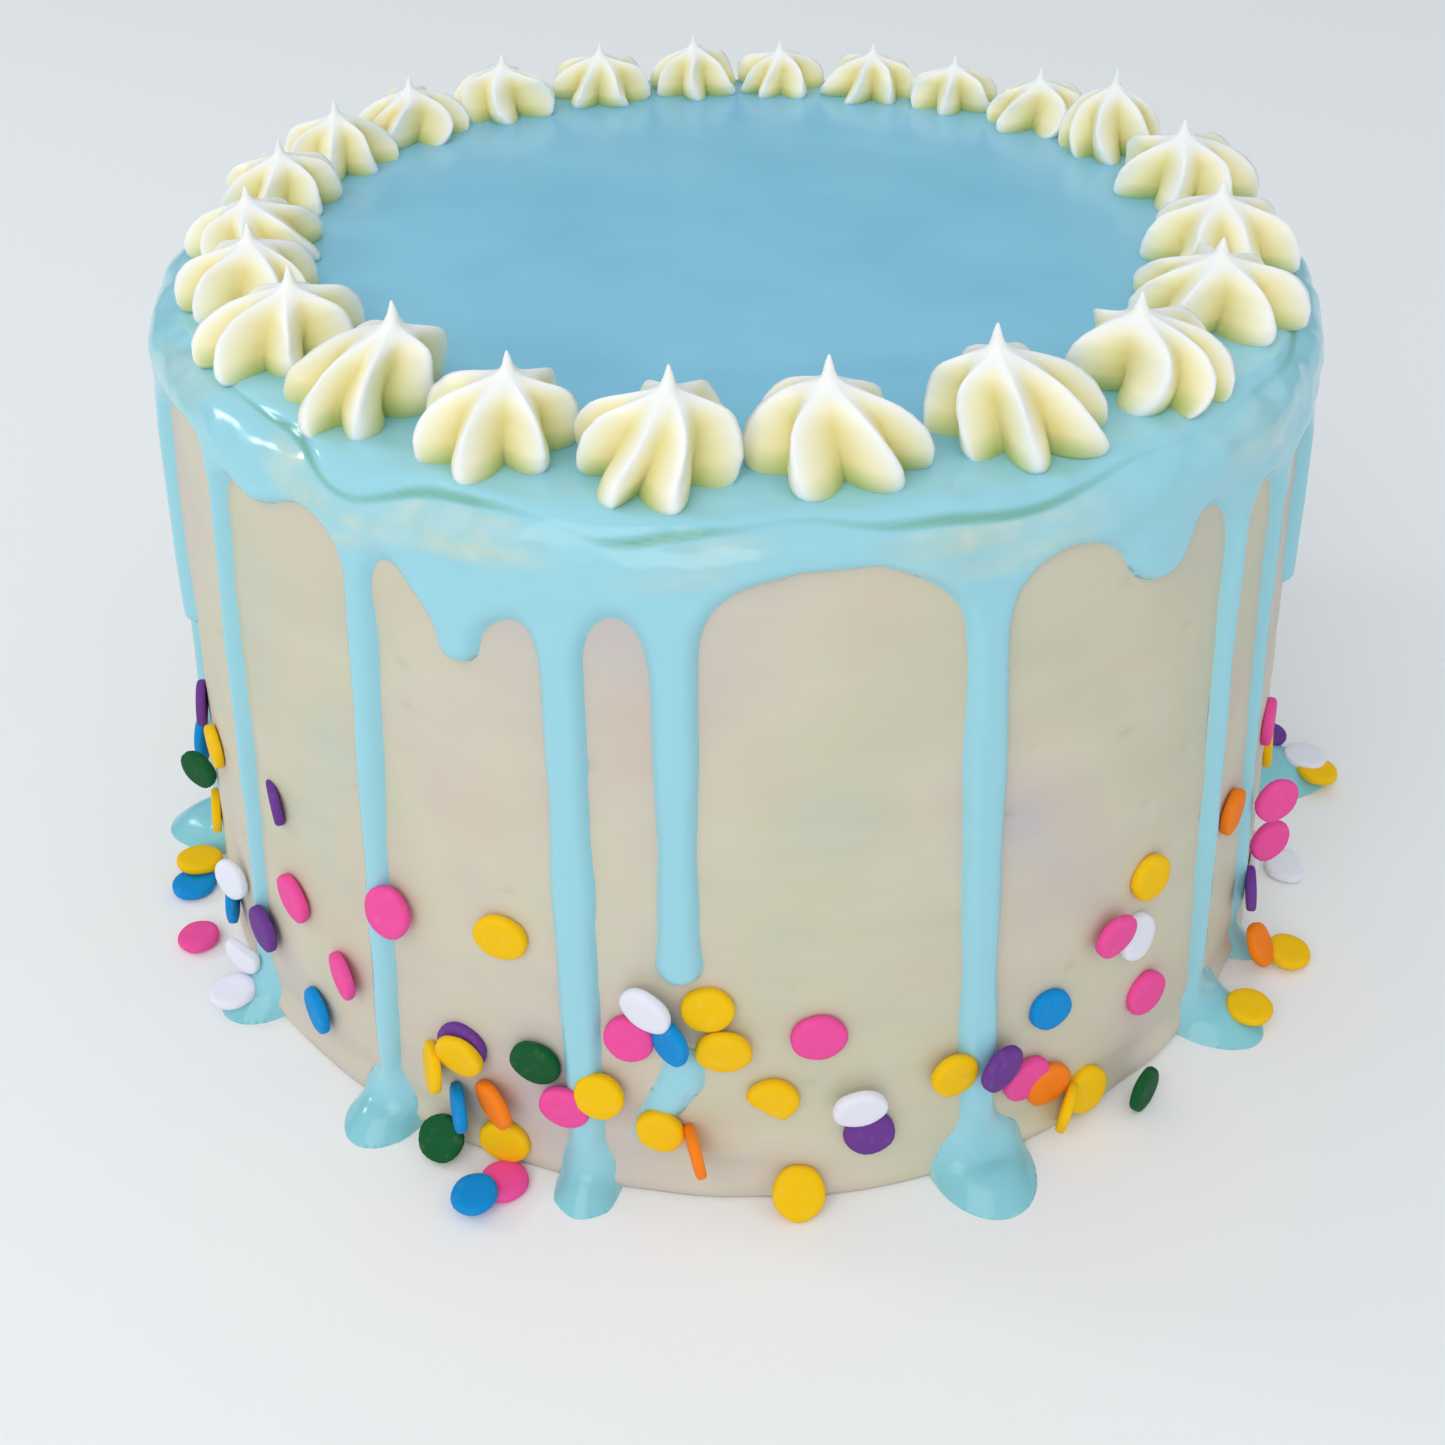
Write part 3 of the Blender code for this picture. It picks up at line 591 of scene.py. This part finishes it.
def build_star(index, low, high, settings):
    """One star between the corners of its solid: sharp crests over scooped valleys, uneven feet and a drawn tip."""
    rng = random.Random(SEEDS["stars"] + index)
    height = (high[2] - low[2]) * TO_MM
    reach = 0.25 * ((high[0] - low[0]) + (high[1] - low[1])) * TO_MM
    middle = np.array([(low[0] + high[0]) / 2, (low[1] + high[1]) / 2, low[2]]) * TO_MM
    turns, reaches = star_ridges(index, reach, rng, settings.star_ridges)
    ridges = len(turns)
    columns = ridges * STAR_FINE
    gaps = (np.roll(turns, -1) - turns) % TAU
    curls, bends, lifts = (np.array([rng.uniform(least, most) for _ in range(ridges)])
                           for least, most in ((-1, 1), (-1, 1), (-0.6, 0.9)))
    twist = rng.uniform(-0.45, 0.45)
    lean = np.array(STAR_LEAN.get(index, (rng.uniform(-0.8, 0.8), rng.uniform(-0.8, 0.8))))
    share_up = np.concatenate([np.linspace(0, 0.76, STAR_ROWS - STAR_TIP_ROWS), np.linspace(0.78, 1.0, STAR_TIP_ROWS)])
    step = np.arange(columns)
    number, after = step // STAR_FINE, (step // STAR_FINE + 1) % ridges
    share = (step % STAR_FINE) / STAR_FINE
    share = share - 0.07 * np.sin(TAU * share)
    near = np.abs(2 * share - 1)
    blend = smooth(share, 0, 1)
    angle = turns[number] + gaps[number] * share
    up = share_up[:, None]

    def between(values):
        return values[number] + (values[after] - values[number]) * blend

    low_down = 1 - smooth(up, 0, 0.5)
    round_blade = np.sin(near * math.pi / 2) ** 1.1
    sharp_blade = near ** 2.3
    blade = round_blade + (sharp_blade - round_blade) * smooth(up, 0.05, 0.55)
    depth = settings.star_groove * np.clip(gaps[number] / 0.9, 0.65, 1.3)
    crest = np.interp(up, *zip(*STAR_CREST))
    spread = between(reaches)
    spread = reach + (spread - reach) * (1 - 0.45 * smooth(up, 0.2, 0.7))
    valley = depth * (1 - blade) * (1 - smooth(up, 0.58, 0.84)) * (1 - 0.2 * smooth(up, 0.1, 0.6))
    radius = crest * spread * (1 - valley)
    spin = angle + twist * (up - 0.2) * 1.2 + between(curls) * 0.22 * low_down ** 2 * near
    spin = spin + between(bends) * 0.16 * np.sin(math.pi * np.clip(up / 0.8, 0, 1))
    rise = up * height + between(lifts) * near * smooth(up, 0.1, 0.4) * (1 - smooth(up, 0.5, 0.78))
    away = smooth(up, 0.1, 0.95)
    x = radius * np.cos(spin) + lean[0] * away + middle[0]
    y = radius * np.sin(spin) + lean[1] * away + middle[1]
    out = np.hypot(x, y)
    droop = np.maximum(out - (TOP_FLAT + 0.2), 0) ** 2 * 0.16 * (1 - smooth(up, 0, 0.4))
    points = np.stack([x, y, rise + middle[2] - 0.45 - droop], -1).reshape(-1, 3)
    rough = field_noise(points, (2.6, 2.6, 2.6), index) * 0.16 + field_noise(points, (0.8, 0.8, 0.8), 9) * 0.03
    flat = np.stack([np.cos(spin), np.sin(spin)], -1).reshape(-1, 2)
    steady = np.repeat(1 - smooth(share_up, 0.8, 0.95), columns)
    points[:, :2] += flat * (rough * steady)[:, None]
    tip, underside = points[-columns:].mean(0) + (0, 0, 0.2), points[:columns].mean(0)
    points = np.vstack([points, [tip, underside]])
    # Painted shade: how deep in a valley each point lies, which the material paints yellower.
    valley_shade = (1 - near ** 1.3) * (1 - smooth(up, 0.5, 0.8)) * (0.6 + 0.4 * smooth(up, 0.0, 0.2))
    # Painted shade at the foot of the valleys, where the star meets the glaze.
    foot = (1 - smooth(up, 0.04, 0.3)) * (1 - near ** 2)
    return mesh_object(f"piped_star_{index:02d}", points, closed_faces(columns, STAR_ROWS),
                       {"valley_shade": np.append(valley_shade.ravel(), [0, 0]), "foot": np.append(foot.ravel(), [0, 1])})


# The confetti sprinkles.

def sugar_disc(rng, broken):
    """Points and faces of one pressed sugar disc lying flat, with a softened rim and an uneven outline."""
    sides = DISC_SIDES
    radius = DISC_RADIUS * rng.uniform(0.95, 1.05)
    squash = rng.uniform(0.93, 1.05)
    phase = rng.uniform(0, TAU)
    cut = radius * 0.45
    profile = ((0.0, 0.65), (0.6, 0.66), (0.87, 0.64), (0.965, 0.5), (1.0, 0.22), (1.0, -0.25), (0.95, -0.52),
               (0.0, -DISC_HALF))
    points = [(0, 0, profile[0][1])]
    for wide, up in profile[1:-1]:
        for i in range(sides):
            angle = i * TAU / sides
            uneven = 1 + 0.018 * math.sin(2 * angle + phase) + 0.014 * math.sin(5 * angle + 2 * phase)
            reach = radius * wide * uneven
            x, y = reach * math.cos(angle), reach * math.sin(angle) * squash
            if broken and x > cut:
                x = cut + (x - cut) * 0.12 + 0.12 * math.sin(3 * y)
            tilt = 0.05 * math.sin(angle + phase)
            points.append((x, y, up + tilt * wide))
    points.append((0, 0, profile[-1][1]))
    rings = len(profile) - 2
    faces = [(0, 1 + i, 1 + (i + 1) % sides) for i in range(sides)]
    for ring in range(rings - 1):
        for i in range(sides):
            a, b = 1 + ring * sides + i, 1 + ring * sides + (i + 1) % sides
            faces.append((a, a + sides, b + sides, b))
    last = 1 + (rings - 1) * sides
    faces += [(last + (i + 1) % sides, last + i, len(points) - 1) for i in range(sides)]
    return points, faces


def sprinkle_list():
    """Every sprinkle as colour, azimuth, height or None, distance from the centre, tilt, spin and lift."""
    rng = random.Random(SEEDS["spots"])
    found = []
    for colour, shown in SIDE_SPRINKLES.items():
        for spot in shown:
            tilt = spot[2] if len(spot) > 2 else rng.uniform(-9, 9)
            spin = math.radians(spot[3]) if len(spot) > 3 else rng.uniform(0, TAU)
            if abs(tilt) > 45 and len(spot) < 4:
                spin = math.radians(90) + math.sin(spot[0]) * 0.3
                tilt = math.copysign(0.85 * max(90 - 1.4 * abs(spot[0]), 8), spot[0])
            found.append((colour, math.radians(spot[0]), spot[1], None, tilt, spin, spot[4] if len(spot) > 4 else 0))
    for colour, azimuth, radius, *lift in FOOT_SPRINKLES:
        found.append((colour, math.radians(azimuth), None, radius, 0, rng.uniform(0, TAU), sum(lift)))
    rng = random.Random(SEEDS["spots"])
    tints = random.Random(SEEDS["tints"])
    choices = ["yellow"] * 6 + ["pink"] * 5 + ["white"] * 3 + ["blue"] * 2 + ["purple"] * 3 + ["orange"] * 2 + ["green"]
    for _ in range(PASSED_DRAWS):
        rng.uniform(-9, 9)
    for index in range(BACK_SPRINKLES):
        azimuth = 86 + 198 * (index + rng.uniform(0.1, 0.9)) / BACK_SPRINKLES
        azimuth = math.radians(azimuth if azimuth <= 180 else azimuth - 360)
        colour = tints.choice(choices)
        if index % 9 == 4:
            found.append((colour, azimuth, None, rng.uniform(77.5, 78.5), 0, tints.uniform(0, TAU), 0))
        else:
            height = 4 + 34 * rng.random() ** 1.6
            tilt = rng.choice((0, 5, -8, 10, 55))
            found.append((colour, azimuth, height, None, tilt, tints.uniform(0, TAU), 0))
    return found


def build_sprinkles(settings):
    """One mesh for each colour; a sprinkle lies on the glaze where there is some below it."""
    glaze = Glaze(settings)
    rng = random.Random(SEEDS["discs"])
    made = {colour: ([], []) for colour in SUGAR}
    slope = math.atan2(BASE_RADIUS - TOP_RADIUS, BODY_HEIGHT)
    for index, (colour, azimuth, height, distance, tilt, spin, lift) in enumerate(sprinkle_list()):
        points, faces = sugar_disc(rng, broken=index in (9, 29) or (index > 60 and index % 11 == 9))
        level = height if height is not None else 0.0
        run = glaze.at_height(level) if height is not None else glaze.at_distance(distance)
        turn = azimuth + PROBE * np.array([[0, 1, -1, 0, 0]]) / BASE_RADIUS
        along = float(run) + PROBE * np.array([[0, 0, 0, 1, -1]])
        inside, up, _, only_smear = glaze.outline(turn, along)
        below = np.where(inside > 0, glaze.thickness(turn, along, inside, up, only_smear), 0)[0]
        depth = max(float(below[0]), 0.8 * float(below[1:].max()), 0)
        if height is None:
            lies = distance > LIES_BEYOND
            distance += 0 if lies else 0.9 * depth
            rest = 0.0 if lies else math.radians(rng.uniform(42, 58))
            middle = around(azimuth, distance,
                            DISC_HALF * math.cos(rest) + 2.9 * math.sin(rest) + max(depth * 0.8, lift))
            pose = (Matrix.Translation(middle) @ Matrix.Rotation(azimuth, 4, "Z") @ Matrix.Rotation(rest, 4, "X")
                    @ Euler((rng.uniform(-0.08, 0.08), rng.uniform(-0.08, 0.08), spin)).to_matrix().to_4x4())
        else:
            out = 0.5 + 0.7 * depth + lift + 1.7 * abs(math.sin(math.radians(tilt)))
            reach = float(side_radius(np.array(azimuth), np.array(level))) + out
            middle = around(azimuth, reach, level)
            turned = Matrix.Rotation(azimuth, 4, "Z") @ Matrix.Rotation(math.pi / 2 - slope, 4, "X")
            turned = turned @ Matrix.Rotation(spin, 4, "Z") @ Matrix.Rotation(math.radians(tilt), 4, "X")
            pose = Matrix.Translation(middle) @ turned
        all_points, all_faces = made[colour]
        start = len(all_points)
        placed = [pose @ Vector(point) for point in points]
        all_points += [(p.x, p.y, max(p.z, 0.02)) for p in placed]
        all_faces += [tuple(start + corner for corner in face) for face in faces]
    return {colour: mesh_object(f"sprinkles_{colour}", points, faces)
            for colour, (points, faces) in made.items() if points}


# Materials.

def add_node(material, kind, inputs=None, **settings):
    """New node with its settings and inputs; an input that is a socket is linked."""
    tree = material.node_tree
    node = tree.nodes.new(kind)
    for key, value in settings.items():
        setattr(node, key, value)
    for key, value in (inputs or {}).items():
        if isinstance(value, bpy.types.NodeSocket):
            tree.links.new(value, node.inputs[key])
        else:
            node.inputs[key].default_value = value
    return node


def new_material(name, **values):
    material = bpy.data.materials.new(name)
    material.use_nodes = True
    shader = material.node_tree.nodes["Principled BSDF"]
    for key, value in values.items():
        shader.inputs[key.replace("_", " ")].default_value = value
    return material, shader


def noise_in_mm(material, size, detail=3.0, rough=0.55, stretch=(1, 1, 1)):
    """Noise whose features measure about size millimetres, stretched along the axes."""
    place = add_node(material, "ShaderNodeTexCoord")
    scale = add_node(material, "ShaderNodeMapping", {"Vector": place.outputs["Object"]})
    scale.inputs["Scale"].default_value = [TO_MM / size / axis for axis in stretch]
    inputs = {"Vector": scale.outputs["Vector"], "Scale": 1.0, "Detail": detail, "Roughness": rough}
    return add_node(material, "ShaderNodeTexNoise", inputs).outputs["Fac"]


def ramp(material, factor, stops):
    node = add_node(material, "ShaderNodeValToRGB", {"Fac": factor})
    elements = node.color_ramp.elements
    while len(elements) < len(stops):
        elements.new(0.5)
    for element, (place, colour) in zip(elements, stops):
        element.position = place
        element.color = linear(colour) if isinstance(colour, str) else (colour, colour, colour, 1)
    return node.outputs["Color"]


def speckle(material, stops, *size, **stretch):
    return ramp(material, noise_in_mm(material, *size, **stretch), stops)


def mixed(material, factor, first, second, kind="MIX"):
    node = add_node(material, "ShaderNodeMix", data_type="RGBA", blend_type=kind)
    for socket, value in ((node.inputs[0], factor), (node.inputs[6], first), (node.inputs[7], second)):
        if isinstance(value, bpy.types.NodeSocket):
            material.node_tree.links.new(value, socket)
        else:
            socket.default_value = value
    return node.outputs[2]


def bump(material, height, distance_mm, strength=1.0):
    inputs = {"Height": height, "Strength": strength, "Distance": distance_mm * MM}
    return add_node(material, "ShaderNodeBump", inputs).outputs["Normal"]


def attribute(material, name):
    return add_node(material, "ShaderNodeAttribute", attribute_name=name).outputs["Fac"]


def wire(material, shader, **links):
    for key, socket in links.items():
        material.node_tree.links.new(socket, shader.inputs[key.replace("_", " ")])


def frosting_material():
    """Buttercream smoothed with a knife: matt, cream, with faint lilac, pink and green where old colour shows, and
    painted shade in its small pits.
    """
    material, shader = new_material("buttercream_side", Roughness=0.5, IOR=1.46)
    tint = speckle(material, ((0.28, "C6BDC4"), (0.40, "D1C6BA"), (0.52, "D5CEB6"), (0.62, "CFCBB0"),
                              (0.74, "C5CAB6")), 30, 2.0, stretch=(1, 1, 1.2))
    blush = speckle(material, ((0.5, 0.0), (0.75, 0.5)), 17, 2.0)
    tint = mixed(material, blush, tint, linear("D6BDB0"))
    streaks = speckle(material, ((0.35, 0.0), (0.7, 0.22)), 5, 4.0, stretch=(5, 5, 1))
    tint = mixed(material, streaks, tint, linear("DFD9C6"))
    # Painted shade: the pits are mixed towards a darker grey-green.
    pits = ramp(material, attribute(material, "pit"), ((0.15, 0.0), (0.9, 0.35)))
    tint = mixed(material, pits, tint, linear("B4B79E"))
    fine = noise_in_mm(material, 1.1, 4.0, stretch=(3, 3, 1))
    wire(material, shader, Base_Color=tint, Normal=bump(material, fine, 0.05, 0.6))
    return material


def glaze_material():
    """Poured sugar glaze: pale cyan, glossy, letting the cream below show through where it is thin, with painted shade
    on the top and a painted shadow under the rim's ledge.
    """
    material, shader = new_material("poured_glaze", IOR=1.47)
    # The top is a deeper cyan than the side, partly for its thicker glaze and partly as painted shade against the
    # stronger light on the top.
    deep_and_shaded_top = speckle(material, ((0.35, "80C3DE"), (0.65, "8ACBE5")), 24, 2.0)
    side = mixed(material, attribute(material, "side"), deep_and_shaded_top, linear("9CD7E5"))
    side = mixed(material, attribute(material, "pool"), side, linear("88CDD8"))
    thin = speckle(material, ((0.35, "B4D2C4"), (0.65, "D6DEC8")), 3.2, 4.0)
    cover = ramp(material, attribute(material, "thin"), ((0.15, 0.0), (0.8, 0.85)))
    streaks = speckle(material, ((0.36, 0.25), (0.62, 1.0)), 2.2, 4.0, stretch=(5, 5, 1))
    cover = mixed(material, 1.0, cover, streaks, "MULTIPLY")
    colour = mixed(material, cover, side, thin)
    # Painted shadow under the ledge on the rim, in dark green.
    colour = mixed(material, ramp(material, attribute(material, "ledge_shadow"), ((0.3, 0.0), (0.9, 0.75))), colour,
                   linear("6FAE93"))
    edge = ramp(material, attribute(material, "depth"), ((0.0, 0.45), (0.28, 0.0)))
    colour = mixed(material, edge, colour, linear("BFD8D0"))
    gloss = mixed(material, attribute(material, "side"), (0.27, 0.27, 0.27, 1),
                  speckle(material, ((0.35, 0.11), (0.65, 0.2)), 9, 2.0))
    ripples = noise_in_mm(material, 7, 2.0)
    wire(material, shader, Base_Color=colour, Roughness=gloss, Normal=bump(material, ripples, 0.05, 0.5))
    return material


def star_material():
    """Piped buttercream: white on its crests with a yellow painted shade in the valleys and a greenish painted shade at
    their foot, a soft satin skin.
    """
    material, shader = new_material("piped_buttercream", Roughness=0.38, IOR=1.46, Subsurface_Weight=0.15,
                                    Subsurface_Radius=(1.0, 0.8, 0.35), Subsurface_Scale=0.0018)
    # White crests and a yellow painted shade deeper in the valleys.
    colour = ramp(material, attribute(material, "valley_shade"), ((0.05, "FEFEFA"), (0.3, "FAF4D6"), (0.62, "F3E9B2"),
                                                            (1.0, "E8D888")))
    # Greenish painted shade at the foot of the valleys.
    low = ramp(material, attribute(material, "foot"), ((0.1, 0.0), (0.9, 0.85)))
    colour = mixed(material, low, colour, linear("BBCB74"))
    fine = noise_in_mm(material, 0.8, 3.0)
    wire(material, shader, Base_Color=colour, Normal=bump(material, fine, 0.04, 0.6))
    return material


def sugar_material(colour):
    """Pressed sugar confetti: matt, saturated, a little paler where the sugar is dusty."""
    material, shader = new_material(f"pressed_sugar_{colour}", Roughness=0.7, IOR=1.3)
    dust = speckle(material, ((0.55, 0.0), (0.8, 0.05)), 1.3, 4.0)
    tint = mixed(material, dust, linear(SUGAR[colour]), linear("FFF6F0"))
    wire(material, shader, Base_Color=tint, Normal=bump(material, noise_in_mm(material, 0.5, 3.0), 0.05, 0.7))
    return material


# Settings, operators and panel.

def number(name, about, value, **limits):
    return bpy.props.FloatProperty(name=name, description=about, default=value, **limits)


class CakeSettings(bpy.types.PropertyGroup):
    stroke_depth: number("Stroke depth", "Strength of the knife strokes", 1.0, min=0, max=3)
    drip_flare: number("Drip flare", "Softness of the arches between drips, in mm", 7.0, min=1, max=12)
    star_ridges: bpy.props.IntProperty(
        name="Star ridges", description="Ridges of each piped star", default=7, min=5, max=14)
    star_groove: number("Star groove", "Depth of the valleys between ridges", 0.43, min=0, max=0.7, subtype="FACTOR")


class StageSettings(bpy.types.PropertyGroup):
    camera_place: bpy.props.FloatVectorProperty(
        name="Camera", description="Where the camera stands", size=3, default=(0.0, -0.2022, 0.1671),
        subtype="TRANSLATION", unit="LENGTH")
    camera_turn: bpy.props.FloatVectorProperty(
        name="Camera turn", description="Pitch, roll and yaw of the camera", size=3,
        default=(-0.5856, -0.0102, -0.0103))
    lens: number("Lens", "Focal length in millimetres on a 36 mm sensor", 42.46, min=10, max=200)
    shift: number("Shift", "Vertical lens shift", -0.0855)
    key_power: number("Key light", "Power of the front light", 1.6, min=0)
    world_strength: number("Surroundings", "Strength of the soft room light", 0.82, min=0)


# Half width of the floor in millimetres and how far below the cake it lies, in metres.
FLOOR_HALF, FLOOR_DROP = 6000, 0.0002
# Lights: name, elevation, azimuth, distance and size in metres, share of the key light's power, and colour.
LIGHTS = (
    ("window", 28, -104, 0.9, 0.14, 0.45, (1.0, 1.0, 1.0)),
    ("front_fill", 38, -20, 0.75, 0.55, 1.0, (1.0, 0.99, 0.97)),
)


def dress(obj, material, node=None):
    """Gives a new piece its material and body, and hides the solid that it stands for."""
    obj.data.materials.append(material)
    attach(obj, "root")
    if node:
        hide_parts(node)


class CAKE_OT_frosting(bpy.types.Operator):
    """Make the frosted body"""
    bl_idname = "cake.frosting"
    bl_label = "Frosting"

    def execute(self, context):
        obj = build_frosting(context.scene.cake_settings)
        dress(obj, frosting_material(), "cake")
        return {"FINISHED"}


class CAKE_OT_glaze(bpy.types.Operator):
    """Make the poured glaze with its drips and puddles"""
    bl_idname = "cake.glaze"
    bl_label = "Glaze"

    def execute(self, context):
        obj = build_glaze(context.scene.cake_settings)
        dress(obj, glaze_material(), "glaze")
        return {"FINISHED"}


class CAKE_OT_stars(bpy.types.Operator):
    """Make the ring of piped stars"""
    bl_idname = "cake.stars"
    bl_label = "Piped stars"

    def execute(self, context):
        material = star_material()
        nodes = sorted(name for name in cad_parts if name.startswith("star_"))
        if not nodes:
            raise RuntimeError("the frame holds no stars")
        for name in nodes:
            low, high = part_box(name)
            obj = build_star(int(name[-2:]), low, high, context.scene.cake_settings)
            dress(obj, material, name)
        return {"FINISHED"}


class CAKE_OT_sprinkles(bpy.types.Operator):
    """Scatter the confetti sprinkles, one piece for each colour"""
    bl_idname = "cake.sprinkles"
    bl_label = "Sprinkles"

    def execute(self, context):
        for colour, obj in build_sprinkles(context.scene.cake_settings).items():
            dress(obj, sugar_material(colour))
        return {"FINISHED"}


class CAKE_OT_stage(bpy.types.Operator):
    """Make the floor, the lights and the camera"""
    bl_idname = "cake.stage"
    bl_label = "Stage"

    def execute(self, context):
        settings = context.scene.cake_stage
        scene = context.scene
        camera = bpy.data.cameras.new("camera")
        camera.lens = settings.lens
        camera.sensor_width = 36
        camera.shift_y = settings.shift
        camera.clip_start = 0.01
        eye = new_object("camera", camera)
        pitch, roll, yaw = settings.camera_turn
        eye.matrix_world = (Matrix.Translation(settings.camera_place) @ Matrix.Rotation(-yaw, 4, "Z")
                            @ Matrix.Rotation(math.pi / 2 + pitch, 4, "X") @ Matrix.Rotation(roll, 4, "Z"))
        scene.camera = eye
        scene.view_settings.view_transform = "Standard"
        corners = [(x * FLOOR_HALF, y * FLOOR_HALF, 0) for x, y in ((-1, -1), (1, -1), (1, 1), (-1, 1))]
        floor = mesh_object("floor", corners, [(0, 1, 2, 3)])
        material, _ = new_material("pale_floor", Base_Color=linear("F7F7F7"), Roughness=0.9)
        floor.data.materials.append(material)
        floor.location.z = -FLOOR_DROP
        for light in LIGHTS:
            self.light(settings.key_power, *light)
        self.room(scene, settings.world_strength)
        return {"FINISHED"}

    def light(self, key_power, name, elevation, azimuth, distance, size, share, colour):
        """Soft panel that looks at the cake from a direction."""
        data = bpy.data.lights.new(name, "AREA")
        data.shape = "SQUARE"
        data.size = size
        data.energy = key_power * share
        data.color = colour
        obj = new_object(name, data)
        up, turn = math.radians(elevation), math.radians(azimuth)
        place = around(turn, math.cos(up), math.sin(up)) * distance
        obj.location = place + Vector((0, 0, 0.05))
        obj.rotation_euler = place.to_track_quat("Z", "Y").to_euler()

    def room(self, scene, strength):
        """Surroundings: dim behind the cake near the horizon, brighter overhead."""
        world = bpy.data.worlds.new("room")
        world.use_nodes = True
        scene.world = world
        place = add_node(world, "ShaderNodeTexCoord").outputs["Generated"]
        parts = add_node(world, "ShaderNodeSeparateXYZ", {"Vector": place})
        back = ramp(world, parts.outputs["Z"], ((0.0, "6E777B"), (0.35, "747E82"), (0.41, "C8E2F2"), (0.9, "F4F8FC")))
        front = ramp(world, parts.outputs["Z"], ((0.0, "D2D4D4"), (0.7, "F4F8FC")))
        colour = mixed(world, ramp(world, parts.outputs["Y"], ((0.0, 0.0), (0.35, 1.0))), front, back)
        sky = world.node_tree.nodes["Background"]
        sky.inputs["Strength"].default_value = strength
        world.node_tree.links.new(colour, sky.inputs["Color"])


class CAKE_PT_panel(bpy.types.Panel):
    """Sidebar panel of the cake"""
    bl_idname = "CAKE_PT_panel"
    bl_label = "Drip Cake"
    bl_space_type = "VIEW_3D"
    bl_region_type = "UI"
    bl_category = "Drip Cake"

    def draw(self, context):
        for group in (context.scene.cake_settings, context.scene.cake_stage):
            for key in group.__annotations__:
                self.layout.prop(group, key)
        for operator in OPERATORS:
            self.layout.operator(operator.bl_idname)


OPERATORS = (CAKE_OT_frosting, CAKE_OT_glaze, CAKE_OT_stars, CAKE_OT_sprinkles, CAKE_OT_stage)
CLASSES = (CakeSettings, StageSettings) + OPERATORS + (CAKE_PT_panel,)


def register():
    for cls in CLASSES:
        bpy.utils.register_class(cls)
    bpy.types.Scene.cake_settings = bpy.props.PointerProperty(type=CakeSettings)
    bpy.types.Scene.cake_stage = bpy.props.PointerProperty(type=StageSettings)


def unregister():
    del bpy.types.Scene.cake_stage
    del bpy.types.Scene.cake_settings
    for cls in reversed(CLASSES):
        bpy.utils.unregister_class(cls)


def main():
    register()
    bpy.ops.cake.stage()
    bpy.ops.cake.frosting()
    bpy.ops.cake.glaze()
    bpy.ops.cake.stars()
    bpy.ops.cake.sprinkles()


if __name__ == "__main__":
    main()
